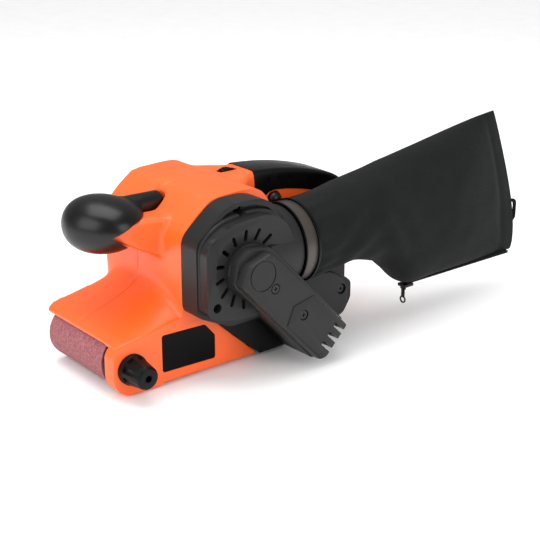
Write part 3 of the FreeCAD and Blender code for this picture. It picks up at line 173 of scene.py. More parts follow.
def moulding(name, colour, roughness, grain=0.1, coat=0.0, spread=0.08, metallic=0.0,
             grain_size=2600.0, round_edges=0.0, gloss=0.5):
    """Moulded plastic, cast metal or rubber, depending on its numbers."""
    material, tree, shader = new_material(name)
    cloud = add_noise(tree, 28.0, 4.0)
    fine = add_noise(tree, grain_size, 2.0)
    colours = tint(tree, cloud.outputs["Fac"], shade(colour, 1.0 - spread),
                   shade(colour, 1.0 + spread))
    tree.links.new(colours, shader.inputs["Base Color"])
    tree.links.new(remap(tree, cloud.outputs["Fac"], roughness * 0.85, roughness * 1.15),
                   shader.inputs["Roughness"])
    shader.inputs["Metallic"].default_value = metallic
    shader.inputs["Specular IOR Level"].default_value = gloss
    shader.inputs["Coat Weight"].default_value = coat
    shader.inputs["Coat Roughness"].default_value = 0.12
    add_bump(tree, shader, fine.outputs["Fac"], grain, 0.0002, round_edges)
    return material


# %% [markdown]
# The palette follows the machine: a saturated orange with a soft sheen, a charcoal moulding
# with a visible grain, glossy black grips, and a warm grey for the bag's adapter. Metals get
# a metallic shader with the same kind of fine grain.

# %% The palette
EDGE = 0.0005
orange = moulding("orange_plastic", srgb(246, 96, 34), 0.42, 0.04, coat=0.12, spread=0.03)
charcoal = moulding("charcoal_plastic", srgb(40, 40, 40), 0.4, 0.2, spread=0.06, gloss=0.22)
charcoal_cad = moulding("charcoal_plastic_edges", srgb(36, 36, 36), 0.42, 0.2,
                        round_edges=EDGE, gloss=0.22)
deep_black = moulding("deep_black_plastic", srgb(10, 10, 10), 0.42, 0.15, round_edges=EDGE,
                      gloss=0.2)
gloss_black = moulding("gloss_black_plastic", srgb(5, 5, 5), 0.36, 0.05, coat=0.04, gloss=0.45)
soft_black = moulding("soft_black_grip", srgb(7, 7, 7), 0.36, 0.18, coat=0.05, gloss=0.25)
panel_black = moulding("panel_black", srgb(3, 3, 3), 0.2, 0.02, round_edges=EDGE, gloss=0.1)
adapter_grey = moulding("adapter_grey", srgb(62, 56, 53), 0.34, 0.15, round_edges=EDGE,
                        gloss=0.5)
rubber = moulding("black_rubber", srgb(26, 26, 27), 0.7, 0.3, round_edges=EDGE)
cast = moulding("cast_aluminium", srgb(170, 172, 174), 0.5, 0.35, metallic=1.0,
                grain_size=900.0, round_edges=EDGE)
steel = moulding("ground_steel", srgb(176, 176, 178), 0.3, 0.12, metallic=1.0,
                 round_edges=EDGE)
dark_steel = moulding("dark_screw_steel", srgb(60, 60, 62), 0.32, 0.1, metallic=1.0,
                      round_edges=EDGE / 2)
iron = moulding("laminated_iron", srgb(96, 96, 100), 0.5, 0.3, metallic=1.0,
                round_edges=EDGE)
copper = moulding("enamelled_copper", srgb(196, 110, 66), 0.34, 0.2, metallic=1.0,
                  round_edges=EDGE)
brass = moulding("plain_brass", srgb(206, 168, 92), 0.32, 0.1, metallic=1.0,
                 round_edges=EDGE)
carbon = moulding("pressed_carbon", srgb(30, 30, 32), 0.6, 0.3, round_edges=EDGE)
cork = moulding("graphite_on_cork", srgb(60, 56, 52), 0.7, 0.5, grain_size=1200.0,
                round_edges=EDGE)
print("materials:", len(bpy.data.materials))

# %% [markdown]
# The sanding belt is cloth with aluminium oxide glued on it. Up close it is a dense field of
# reddish brown grains with pale and dark specks, and it scatters light, so it has almost no
# highlight. Two noise textures at grain size give the specks, and the same noise is the bump.


# %% Abrasive cloth
def abrasive_cloth():
    """Closely coated aluminium oxide grit."""
    material, tree, shader = new_material("abrasive_grit")
    grains = add_noise(tree, 1500.0, 6.0)
    specks = add_noise(tree, 420.0, 8.0)
    base = tint(tree, grains.outputs["Fac"], srgb(84, 38, 46), srgb(190, 118, 122))
    dusty = tint(tree, specks.outputs["Fac"], srgb(104, 50, 58), srgb(178, 112, 116))
    tree.links.new(mix_colours(tree, base, dusty, 0.45), shader.inputs["Base Color"])
    shader.inputs["Roughness"].default_value = 0.85
    add_bump(tree, shader, grains.outputs["Fac"], 0.7, 0.0004)
    return material


grit = abrasive_cloth()
print("grit ready")

# %% [markdown]
# The bag is a close woven polyester. Its look is a fine over-and-under weave, a soft sheen at
# grazing angles and slow changes of tone across the cloth. Two wave textures at right angles
# make the weave on Object coordinates, so it needs no unwrapping.


# %% Woven cloth
def woven_cloth(name, colour, threads=900.0):
    """Plain weave from two crossed sets of threads."""
    material, tree, shader = new_material(name)
    coordinates = tree.nodes.new("ShaderNodeTexCoord")
    waves = []
    for direction in ("Y", "Z"):
        wave = tree.nodes.new("ShaderNodeTexWave")
        wave.bands_direction = direction
        wave.inputs["Scale"].default_value = threads / 6.0
        wave.inputs["Distortion"].default_value = 0.6
        tree.links.new(coordinates.outputs["Object"], wave.inputs["Vector"])
        waves.append(wave)
    weave = tree.nodes.new("ShaderNodeMath")
    weave.operation = "MULTIPLY"
    tree.links.new(waves[0].outputs["Fac"], weave.inputs[0])
    tree.links.new(waves[1].outputs["Fac"], weave.inputs[1])
    cloud = add_noise(tree, 60.0, 5.0)
    lint = add_noise(tree, 900.0, 4.0)
    toned = tint(tree, cloud.outputs["Fac"], shade(colour, 0.82), shade(colour, 1.2))
    flecked = tint(tree, lint.outputs["Fac"], shade(colour, 0.75), shade(colour, 1.35))
    tree.links.new(mix_colours(tree, toned, flecked, 0.4), shader.inputs["Base Color"])
    shader.inputs["Roughness"].default_value = 0.82
    shader.inputs["Specular IOR Level"].default_value = 0.12
    shader.inputs["Sheen Weight"].default_value = 0.03
    shader.inputs["Sheen Roughness"].default_value = 0.5
    add_bump(tree, shader, weave.outputs[0], 0.35, 0.0003)
    return material


bag_cloth = woven_cloth("bag_cloth", srgb(27, 29, 28))
tape_cloth = woven_cloth("tape_cloth", srgb(17, 18, 17), 1400.0)
print("cloth ready")

# %% [markdown]
# ## Mesh helpers
# Most shells start from a side outline: a few corner points, pulled across the machine. The
# corners are then bevelled one by one to their own radius and the rim is softened, which is
# how a mould maker rounds a tool. Two shells are joined or cut with exact booleans.


# %% Prisms, bevels and booleans
def bevel_edges(mesh, edges, width, segments=3):
    """Round or chamfer some edges of a bmesh."""
    if edges and width > 0.0:
        bmesh.ops.bevel(mesh, geom=edges, offset=width, offset_type="OFFSET",
                        segments=segments, profile=0.5, affect="EDGES", material=-1,
                        clamp_overlap=True)


def slab(points, x0, x1, rim=0.0, rim_segments=3, back_rim=0.0, corner_segments=5):
    """A side outline of (y, z, corner radius) points, pulled from x0 to x1."""
    mesh = bmesh.new()
    face = mesh.faces.new([mesh.verts.new((x0, y, z)) for y, z, _ in points])
    grown = bmesh.ops.extrude_face_region(mesh, geom=[face])["geom"]
    moved = [g for g in grown if isinstance(g, bmesh.types.BMVert)]
    bmesh.ops.translate(mesh, verts=moved, vec=(x1 - x0, 0.0, 0.0))
    for y, z, radius in points:
        corner = Vector((y, z))
        edges = [e for e in mesh.edges
                 if abs(e.verts[0].co.x - e.verts[1].co.x) > 0.5 * abs(x1 - x0)
                 and all((Vector(v.co[1:]) - corner).length < 0.01 for v in e.verts)]
        bevel_edges(mesh, edges, radius, corner_segments)
    for x, width in ((x1, rim), (x0, back_rim)):
        edges = [e for e in mesh.edges if all(abs(v.co.x - x) < 0.001 for v in e.verts)]
        bevel_edges(mesh, edges, width, rim_segments)
    bmesh.ops.recalc_face_normals(mesh, faces=mesh.faces)
    return mesh


def drum(axis, start, end, centre, radius0, radius1=None, segments=48, rim=0.0):
    """A round bar or cone along an axis, with its far rim rounded if asked."""
    mesh = bmesh.new()
    turn = {"X": Matrix.Rotation(math.pi / 2, 4, "Y"),
            "Y": Matrix.Rotation(-math.pi / 2, 4, "X"), "Z": Matrix.Identity(4)}[axis]
    middle = (start + end) / 2
    place = {"X": (middle, *centre), "Y": (centre[0], middle, centre[1]),
             "Z": (*centre, middle)}[axis]
    bmesh.ops.create_cone(mesh, cap_ends=True, segments=segments, radius1=radius0,
                          radius2=radius0 if radius1 is None else radius1,
                          depth=end - start)
    tops = [e for e in mesh.edges if all(v.co.z > 0 for v in e.verts)]
    bevel_edges(mesh, tops, rim, 3)
    bmesh.ops.transform(mesh, matrix=Matrix.Translation(place) @ turn, verts=mesh.verts)
    return mesh


def block(x0, x1, y0, y1, z0, z1, soft=0.0):
    """A box between two corners, with soft edges if asked."""
    mesh = bmesh.new()
    bmesh.ops.create_cube(mesh, size=1.0)
    bmesh.ops.scale(mesh, vec=(x1 - x0, y1 - y0, z1 - z0), verts=mesh.verts)
    bmesh.ops.translate(mesh, verts=mesh.verts,
                        vec=((x0 + x1) / 2, (y0 + y1) / 2, (z0 + z1) / 2))
    bevel_edges(mesh, mesh.edges[:], soft, 2)
    return mesh


def loft(rings):
    """Skin over a row of rings that have the same number of points."""
    mesh = bmesh.new()
    loops = []
    for ring in rings:
        points = [mesh.verts.new(point) for point in ring]
        loops.append([mesh.edges.new((points[i - 1], points[i])) for i in range(len(points))])
    for first, second in zip(loops, loops[1:]):
        bmesh.ops.bridge_loops(mesh, edges=first + second)
    bmesh.ops.holes_fill(mesh, edges=loops[0] + loops[-1], sides=0)
    bmesh.ops.recalc_face_normals(mesh, faces=mesh.faces)
    return mesh


def slot_tool(x0, x1, y0, y1, z0, z1, radius, segments):
    """A cutter for a slot that runs across the machine, with its long edges rounded."""
    mesh = block(x0, x1, y0, y1, z0, z1)
    long_edges = [e for e in mesh.edges if abs(e.verts[0].co.x - e.verts[1].co.x) > 10]
    bevel_edges(mesh, long_edges, radius, segments)
    return mesh


def soften(mesh, verts, passes):
    """Smooth some points of a bmesh, again and again."""
    for _ in range(passes):
        bmesh.ops.smooth_vert(mesh, verts=verts, factor=0.5, use_axis_x=True,
                              use_axis_y=True, use_axis_z=True)


def turned(mesh, degrees, centre):
    """Turn a bmesh about a line across the machine, through a point."""
    bmesh.ops.rotate(mesh, verts=mesh.verts, cent=centre,
                     matrix=Matrix.Rotation(math.radians(degrees), 3, "X"))
    return mesh


def as_object(mesh, name="working"):
    """A bmesh as an object, still in the drawing's millimetres."""
    data = bpy.data.meshes.new(name)
    mesh.to_mesh(data)
    mesh.free()
    piece = bpy.data.objects.new(name, data)
    bpy.context.scene.collection.objects.link(piece)
    return piece


def bake_modifiers(piece):
    """Replace a piece's mesh with what its modifiers make of it."""
    graph = bpy.context.evaluated_depsgraph_get()
    made = bpy.data.meshes.new_from_object(piece.evaluated_get(graph))
    piece.modifiers.clear()
    piece.data = made
    return piece


def one_skin(piece, voxel):
    """Melt overlapping volumes into one even skin of small quads."""
    remesh = piece.modifiers.new("skin", "REMESH")
    remesh.mode = "VOXEL"
    remesh.voxel_size = voxel
    bake_modifiers(piece)


def combine(piece, tools, operation):
    """Join or cut a piece with several bmeshes by exact booleans, one at a time."""
    for tool in tools:
        other = as_object(tool)
        step = piece.modifiers.new("step", "BOOLEAN")
        step.operation = operation
        step.solver = "EXACT"
        step.object = other
        bake_modifiers(piece)
        bpy.data.objects.remove(other)
    return piece


def smooth_by_angle(piece, degrees=35.0):
    """Smooth shading, with creases where two faces meet at more than an angle."""
    piece.data.shade_smooth()
    mesh = bmesh.new()
    mesh.from_mesh(piece.data)
    limit = math.radians(degrees)
    for edge in mesh.edges:
        edge.smooth = len(edge.link_faces) == 2 and edge.calc_face_angle(0.0) < limit
    mesh.to_mesh(piece.data)
    mesh.free()


def finish_piece(piece, name, material, body, nodes, degrees=35.0):
    """Set a piece in the frame with its material, its body and the nodes it stands for."""
    piece.name = name
    piece.data.name = name
    piece.data.transform(TO_FRAME)
    piece.data.materials.clear()
    piece.data.materials.append(material)
    smooth_by_angle(piece, degrees)
    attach(piece, body)
    if nodes:
        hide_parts(*nodes)
    print(name, "faces", len(piece.data.polygons))
    return piece


# %% [markdown]
# ## The camera and the light
# The machine is seen from its front right corner and a little above, through a fairly long
# lens. Large soft lamps above, in front and at the side make broad highlights on the moulded
# skins, as in a catalogue picture, and a pale floor lifts the shadows.

# %% Camera and lamps
AZIMUTH = math.radians(51.24)
ELEVATION = math.radians(20.35)
CAMERA_PLACE = (778.11, -537.19, 412.24)
camera_data = bpy.data.cameras.new("camera")
camera_data.sensor_width = 36.0
camera_data.lens = 84.667
camera_data.clip_start = 0.05
camera = bpy.data.objects.new("camera", camera_data)
camera.location = TO_FRAME @ Vector(CAMERA_PLACE)
camera.rotation_euler = (math.pi / 2 - ELEVATION, 0.0, AZIMUTH)
bpy.context.scene.collection.objects.link(camera)
bpy.context.scene.camera = camera


def lamp(name, place, target, size, watts):
    """A square soft lamp that looks at a point, in metres."""
    data = bpy.data.lights.new(name, "AREA")
    data.size = size
    data.energy = watts
    made = bpy.data.objects.new(name, data)
    made.location = place
    made.rotation_euler = (Vector(target) - Vector(place)).to_track_quat("-Z", "Y").to_euler()
    bpy.context.scene.collection.objects.link(made)
    return made


MIDDLE = (0.0, 0.08, 0.07)
lamp("lamp_top", (-0.1, 0.0, 1.1), MIDDLE, 0.9, 7.5)
lamp("lamp_front", (0.1, -1.1, 0.7), MIDDLE, 0.9, 6.0)
lamp("lamp_side", (1.2, 0.3, 0.6), MIDDLE, 0.8, 5.0)
print("camera and lamps ready")

# %% [markdown]
# The world is an even white. It is a little brighter where the camera looks straight at it, so
# the backdrop stays clean, and much dimmer in reflections, so the black grips stay black. One
# Math node for each kind of ray adds its share, above or below zero, to the strength.

# %% World and floor
SKY_STRENGTH = 0.95
SKY_SHARES = {"Is Camera Ray": 0.2, "Is Glossy Ray": -0.65}
FLOOR_REACH = 6000.0
world = bpy.data.worlds.new("studio")
world.use_nodes = True
sky = world.node_tree
background = sky.nodes["Background"]
background.inputs["Color"].default_value = (1.0, 1.0, 1.0, 1.0)
paths = sky.nodes.new("ShaderNodeLightPath")
strength = None
for ray, share in SKY_SHARES.items():
    level = sky.nodes.new("ShaderNodeMath")
    level.operation = "MULTIPLY_ADD"
    level.inputs[1].default_value = share
    level.inputs[2].default_value = SKY_STRENGTH
    sky.links.new(paths.outputs[ray], level.inputs[0])
    if strength is not None:
        sky.links.new(strength, level.inputs[2])
    strength = level.outputs[0]
sky.links.new(strength, background.inputs["Strength"])
bpy.context.scene.world = world
bpy.context.scene.view_settings.view_transform = "Standard"

floor_mesh = bmesh.new()
bmesh.ops.create_grid(floor_mesh, x_segments=1, y_segments=1, size=FLOOR_REACH)
floor = as_object(floor_mesh, "floor")
floor.data.transform(Matrix.Scale(MM, 4))
floor_material = moulding("floor_paint", (0.96, 0.96, 0.96, 1.0), 0.8, 0.0, spread=0.0)
floor.data.materials.append(floor_material)
print("world and floor ready")

# %% [markdown]
# ## The orange housing
# On the real machine the housing is two mouldings that meet at the middle. Their skin flows:
# the hood is crowned, it sweeps up into the motor barrel, and the barrel's shoulder runs into
# the handle's neck. Such blends are hard to make from bevels, so the rough volumes are built
# first, a voxel remesh makes one skin of them, and smoothing melts the joints together. The
# crisp parts, the flat side skirt and the openings, are added with booleans afterwards.

# %% The hood as a loft of cross sections
HOOD_CENTRE = [(-99, 41), (-97, 43.4), (-92, 46.6), (-80, 50), (-68, 53.2), (-58, 57),
               (-50, 61.5), (-43, 68), (-38, 78), (-35, 92), (-30, 100)]
HOOD_NEAR = [(-99, 40), (-97, 41.4), (-92, 43.2), (-75, 44.8), (-57, 46.5), (-35, 50), (-30, 50)]
HOOD_FAR = [(-99, 40.6), (-97, 42.6), (-92, 45.2), (-77, 48), (-59, 51.5), (-36, 56), (-30, 57)]
BELT_CLEAR = 23.3
FRONT_ROLLER_Y = -79.75
HOOD_FLOOR = 38.2
HOOD_STEPS = 16


def along(keys, y):
    """Height of a drawn line at a place along the machine."""
    for (y0, z0), (y1, z1) in zip(keys, keys[1:]):
        if y <= y1:
            return z0 + (z1 - z0) * max(y - y0, 0.0) / (y1 - y0)
    return keys[-1][1]


def hood_under(y):
    """Underside of the hood: it follows the belt round the front roller."""
    forward = max(FRONT_ROLLER_Y - y, 0.0)
    return max(ROLLER_Z + math.sqrt(BELT_CLEAR ** 2 - forward ** 2), HOOD_FLOOR)


def hood_ring(y, inset):
    """One crowned section of the hood, seen along the machine, with its two side flanges."""
    left, right = -46.0 + inset, 57.0 - inset
    under = hood_under(y)
    ring = []
    for step in range(HOOD_STEPS + 1):
        x = left + (right - left) * step / HOOD_STEPS
        edge = along(HOOD_FAR, y) if x < 0 else along(HOOD_NEAR, y)
        reach = abs(x / (left if x < 0 else right))
        top = along(HOOD_CENTRE, y)
        ring.append((x, y, top + (edge - top) * reach ** 3.2))
    for x, z in ((right, 37.6), (40, 37.6), (40, under), (-39.6, under), (-39.6, HOOD_FLOOR),
                 (left, HOOD_FLOOR)):
        ring.append((x, y, z))
    return ring


# place along the machine, and how far the sides are drawn in there
stations = [(-99, 3.0), (-98, 1.2), (-96, 0.4), (-93, 0), (-88, 0), (-80, 0), (-72, 0), (-64, 0),
            (-56, 0), (-50, 0), (-45, 0), (-41, 0), (-38, 0), (-34, 0), (-30, 0)]
hood = loft([hood_ring(y, inset) for y, inset in stations])
print("hood faces", len(hood.faces))

# %% [markdown]
# The barrel is a side outline with a large rounding on its far rim. The neck and the D-shaped
# handle are one more outline. A short flared block leads from the barrel's back into the neck,
# and a horn reaches forward to the front knob.

# %% The barrel, the neck and the handle
barrel = slab([(-41, 46, 0), (45, 46, 0), (45, 112, 8), (40, 129, 8), (29, 139, 10),
               (0, 139, 14), (-14, 137, 9), (-29, 126, 8), (-41, 113.4, 8), (-42.6, 76, 8)],
              62.0, -50.0, rim=12.0, rim_segments=6)
far_end = drum("X", -55.8, -44.0, MOTOR_CENTRE, 37.0)
HANDLE_OUTLINE = [(34, 137, 0), (34, 100, 0), (64, 100, 6), (112, 99, 10), (138, 88, 9),
                  (138, 62, 5), (126, 56, 3), (118, 46, 0), (140, 46, 6), (166, 66, 9),
                  (168, 96, 14), (150, 117, 18), (112, 130, 20), (66, 137, 20)]
HANDLE_HALF = 16.8
HANDLE_RIM = 4.5
NECK_TOP = 136.6
STEM_CENTRE = (0.0, 124.0)


def handle_volume():
    """The D-shaped handle with its neck."""
    return slab(HANDLE_OUTLINE, -HANDLE_HALF, HANDLE_HALF, rim=HANDLE_RIM, back_rim=HANDLE_RIM)


flare = loft([[(-w, y, 108), (w, y, 108), (w, y, top - 3), (w - 4, y, top),
               (-w + 4, y, top), (-w, y, top - 3)]
              for y, w, top in ((30, 34, 137), (44, 26, NECK_TOP), (52, 19, NECK_TOP),
                                (60, HANDLE_HALF, NECK_TOP))])
horn = loft([[(-w, y, low), (w, y, low), (w, y, high), (-w, y, high)]
             for y, w, low, high in ((-84, 27, 113, 116.4), (-71, 30.6, 106, 121),
                                     (-56, 31.5, 98, 123.4), (-34, 34, 88, 122))])
rear = slab([(30, 45.8, 0), (124, 45.8, 3), (129, 52, 4), (124, 58.5, 5), (30, 58.5, 0)],
            -39.6, 40.4, rim=5.0, back_rim=8.0)
print("rough volumes ready")

# %% One skin by voxel remesh
VOXEL = 1.35
body = as_object(hood, "orange_body")
combine(body, [barrel, far_end, handle_volume(), flare, horn, rear], "UNION")
combine(body, [drum("Y", -60.0, -19.0, STEM_CENTRE, 10.4, rim=3.0)], "DIFFERENCE")
one_skin(body, VOXEL)
skin = bmesh.new()
skin.from_mesh(body.data)
lip = [v for v in skin.verts if v.co.y < -86]
upper = [v for v in skin.verts if v.co.y >= -88 and v.co.z > 46.4]
sweep = [v for v in skin.verts if -62 < v.co.y < -20 and 47.5 < v.co.z < 90]
for group, passes in ((lip, 3), (upper, 12), (sweep, 30)):
    soften(skin, group, passes)
skin.to_mesh(body.data)
skin.free()
print("skin faces", len(body.data.polygons))

# %% [markdown]
# The skirt is the flat side wall that covers the end of the front roller. Its rim is rounded a
# little, which shows as the thin bright line under the hood. Then everything that passes
# through the shell is cut out: the motor's room, the switch's room, the finger trigger's slot,
# the lock button, the dial, the tracking screw, the cord gland, the way for the dust duct, the
# corner that the drive case fills, the bed of the side panel, and all that stands out beyond
# the flat on which the motor cover sits.

# %% Skirt and openings
SKIRT = [(-103, 1.6, 16), (-62, 1.6, 1), (-60, 3.4, 1), (27.5, 3.4, 0.3), (-15.8, 43.2, 0),
         (-15.8, 52, 0), (-38, 52, 6), (-60, 47.5, 6), (-92, 42, 4), (-103, 38, 10)]
skirt = slab(SKIRT, 45.0, 57.2, rim=0.9, rim_segments=2, corner_segments=8)
combine(body, [skirt], "UNION")
LOCK_CENTRE = (78.0, 110.0)
DIAL_CENTRE = (43.0, 127.0)
TRACKING_CENTRE = (-88.0, 22.5)
GLAND_CENTRE = (0.0, 84.0)
SPIGOT_CENTRE = (59.0, 90.0)
CASE_CORNER = [(-15.6, 43.4, 0), (29, 3.0, 0), (90, 3.0, 0), (90, 60, 0), (44, 60, 0),
               (29, 44.4, 0), (-12, 44.4, 0)]
rooms = [
    slab([(-30, 51, 4), (39, 51, 4), (39, 128, 8), (-2, 131, 8), (-30, 112, 8)], -45.0, 58.0),
    drum("X", -57.0, -40.0, MOTOR_CENTRE, 33.5),
    block(57.2, 70.0, -60.0, 60.0, 44.0, 150.0),
    slab([(30, 104, 0), (64, 104, 3), (112, 103, 8), (142, 90, 6), (142, 68, 3), (160, 72, 6),
          (163, 95, 8), (146, 112, 8), (112, 126, 8), (66, 132, 8), (30, 132, 0)], -12.6, 12.6),
    block(-6.4, 6.4, 70.0, 107.5, 90.0, 108.0),
    drum("X", 10.0, 20.0, LOCK_CENTRE, 5.5),
    drum("X", 13.0, 30.0, LOCK_CENTRE, 7.4),
    drum("X", -3.6, 3.6, DIAL_CENTRE, 13.0),
    drum("X", 44.0, 60.0, TRACKING_CENTRE, 3.4),
    drum("Y", 20.0, 60.0, SPIGOT_CENTRE, 31.8),
    drum("Y", 148.0, 176.0, GLAND_CENTRE, 7.2),
    slab(CASE_CORNER, 44.0, 60.0),
    slab([(-60.8, 11.2, 2), (-12.2, 10.2, 2), (-12.2, 29.7, 2), (-21.4, 40.3, 2),
          (-60.8, 41.3, 2)], 56.4, 60.0),
]
combine(body, rooms, "DIFFERENCE")
print("body faces", len(body.data.polygons))

# %% [markdown]
# The finished body is split at the middle plane into the two mouldings. Each half is drawn in
# a little along the split, so that a fine parting groove runs over the hood and up the barrel,
# as it does where two mouldings meet.


# %% Split into two mouldings
SPLIT_GAP = 0.05
GROOVE = 0.35


def half_of(source, side):
    """One half of the body: side is 1 for the drive side."""
    mesh = bmesh.new()
    mesh.from_mesh(source.data)
    cut = bmesh.ops.bisect_plane(mesh, geom=mesh.verts[:] + mesh.edges[:] + mesh.faces[:],
                                 plane_co=(SPLIT_GAP * side, 0, 0), plane_no=(side, 0, 0),
                                 clear_inner=True)["geom_cut"]
    rim = [g for g in cut if isinstance(g, bmesh.types.BMEdge)]
    for vert in {v for edge in rim for v in edge.verts}:
        vert.co -= vert.normal * GROOVE
    bmesh.ops.holes_fill(mesh, edges=rim, sides=0)
    return as_object(mesh)


for side, name, node in ((1, "right_housing", "housing_right"),
                         (-1, "left_housing", "housing_left")):
    finish_piece(half_of(body, side), name, orange, "machine", [node], 30.0)
bpy.data.objects.remove(body)

# %% [markdown]
# ## The motor cover
# The charcoal cover stands on the drive side of the motor. Its flange follows the housing, then
# it steps in twice to a flat face with a dished ring of cooling slots, and a round duct leaves
# it towards the bag. Each step is one slab with a softened rim, and one more slab hollows the
# inside. The slots are cut by tools that a loop turns round the motor's axis, because only a
# real slot shows its depth when the light comes from the side.

# %% The stepped cover and its duct
FLANGE = [(-41.8, 56.5, 5), (-12, 42.2, 4), (28, 43, 4), (44, 61, 6), (44, 108, 8),
          (33, 129, 10), (17, 137.5, 12), (-13, 137.5, 9), (-41.8, 113.5, 6)]
RECESS = [(-37, 98, 0), (40, 98, 0), (39.6, 107, 5), (30.6, 125, 8), (15.6, 133.4, 9),
          (-12, 133.4, 7), (-38.4, 111.6, 3)]
LEDGE = [(-41, 60, 5), (-12, 46, 4), (27, 46, 4), (42.4, 62, 6), (42.4, 106, 8),
         (31.6, 124.6, 9), (16, 130.4, 10), (-6, 130.2, 10), (-26, 126.4, 10), (-41, 112, 6)]
FACE = [(-40.6, 60, 5), (-28, 53.6, 4), (-4, 50.6, 8), (26, 51, 6), (41, 62.6, 6),
        (41, 104, 8), (31, 122, 9), (16, 127.6, 10), (-6, 127.2, 10), (-26, 123.4, 10),
        (-40.6, 111, 6)]
INSIDE = [(-37.6, 62, 3), (-11, 49, 3), (25, 49, 3), (38.4, 63, 5), (38.4, 103, 7),
          (29, 119.4, 8), (15, 124.6, 8), (-5, 124.2, 8), (-24, 120.4, 8), (-37.6, 108.6, 5)]
cover = as_object(slab(FLANGE, 57.3, 76.6, rim=2.2, rim_segments=2), "motor_cover")
combine(cover, [slab(RECESS, 72.6, 90.0)], "DIFFERENCE")
duct = drum("Y", 18.0, 49.5, SPIGOT_CENTRE, 31.5, segments=96, rim=1.6)
spigot = drum("Y", 40.0, 72.0, SPIGOT_CENTRE, 28.4, segments=96, rim=0.8)
combine(cover, [slab(LEDGE, 60.0, 79.4, rim=0.8, rim_segments=2),
                slab(FACE, 60.0, 87.5, rim=2.2, rim_segments=4), duct, spigot], "UNION")
dish = drum("X", 84.9, 88.0, MOTOR_CENTRE, 20.0, 31.6, segments=96)
combine(cover, [dish], "DIFFERENCE")
hub = drum("X", 80.0, 88.6, MOTOR_CENTRE, 19.6, segments=96, rim=0.8)
combine(cover, [hub], "UNION")
COVER_SCREWS = ((-31.5, 65), (-2, 131), (28, 118))
COVER_SLOTS = 10
SLOT_START = MOTOR_Y + 21.4
SLOT_LENGTH = 9.6
FIRST_SLOT = 48.0
SLOT_TURN = 23.5
openings = [slab(INSIDE, 54.0, 82.4), drum("Y", 34.0, 46.0, SPIGOT_CENTRE, 28.6),
            drum("Y", 30.0, 80.0, SPIGOT_CENTRE, 25.8, segments=64)]
openings += [drum("X", 64.3, 90.0, place, 3.6) for place in COVER_SCREWS]
for index in range(COVER_SLOTS):
    slot = slot_tool(70.0, 92.0, SLOT_START, SLOT_START + SLOT_LENGTH, MOTOR_Z - 1.5,
                     MOTOR_Z + 1.5, 1.2, 3)
    openings.append(turned(slot, FIRST_SLOT + SLOT_TURN * index, (0.0, *MOTOR_CENTRE)))
combine(cover, openings, "DIFFERENCE")
finish_piece(cover, "motor_cover", charcoal, "machine", ["motor_side_cover"])

# %% [markdown]
# ## The belt cover
# The long arm-shaped cover hides the toothed belt that drives the rear roller. Its face has a
# chamfer all round, a plain ring pressed into its round end, two sunk screws, a slightly raised
# lower half and three slots that run out over its end. A wider shoulder lies behind the face.

# %% The long cover over the toothed belt
ARM_FACE = [(-21.5, 83, 2.5), (53, 6.2, 2), (60, 7, 2), (81, 28.6, 2), (6, 104.6, 2.5),
            (-15, 97.6, 3)]
ARM_SHOULDER = [(-22.4, 82, 3), (52, 5.4, 2), (60, 5.4, 2), (84, 30, 2.5), (12, 105.4, 4),
                (-9, 108.6, 6), (-19, 100, 3)]
ARM_INSIDE = [(-17.8, 83, 2), (53.4, 9.6, 1), (58.6, 10.2, 1), (77, 28.8, 1), (6, 100.6, 2),
              (-13, 94.6, 2)]
RAISED = [(19.5, 43.4, 0.4), (53.4, 8.4, 1), (59, 9, 1), (78.6, 28.8, 1), (45.6, 62.4, 0.4),
          (26, 58, 0.4)]
RING_CENTRE = (-3.0, 88.6)
ARM_SCREWS = ((8.5, 76.0), (35.5, 48.5))
ARM_SLOT_PITCH = 8.6
ARM_END = (0.0, 71.0, 16.7)
arm = as_object(slab(ARM_SHOULDER, 77.8, 96.0, rim=1.2), "belt_cover")
combine(arm, [slab(ARM_FACE, 90.0, 105.2, rim=2.2, rim_segments=2),
              slab(RAISED, 104.0, 105.95, rim=0.45, rim_segments=2)], "UNION")
ring_tool = as_object(drum("X", 104.6, 110.0, RING_CENTRE, 12.0, segments=64))
combine(ring_tool, [drum("X", 104.0, 111.0, RING_CENTRE, 10.9, segments=64)], "DIFFERENCE")
groove = bmesh.new()
groove.from_mesh(ring_tool.data)
bpy.data.objects.remove(ring_tool)
cuts = [groove, slab(ARM_INSIDE, 77.0, 102.4)]
cuts += [drum("X", 102.8, 110.0, place, 4.1) for place in ARM_SCREWS]
for offset in (-ARM_SLOT_PITCH, 0.0, ARM_SLOT_PITCH):
    slot = slot_tool(88.0, 112.0, -15.0, 5.0, offset - 2.0, offset + 2.0, 1.0, 2)
    slot = turned(slot, -45.0, (0.0, 0.0, 0.0))
    bmesh.ops.translate(slot, verts=slot.verts, vec=ARM_END)
    cuts.append(slot)
combine(arm, cuts, "DIFFERENCE")
finish_piece(arm, "belt_cover", charcoal, "machine", ["drive_belt_cover"],
             25.0)

# %% [markdown]
# ## The front knob
# The front hand holds a wide glossy knob on an arm. It is flattened like a pebble, its top is
# fuller than its underside, and the orange horn of the housing reaches into its back. It starts
# as a sphere whose points are moved, is joined to the arm and skinned by a voxel remesh. Then
# the horn's room is cut out, and the arm is added again, because that cut goes right through.

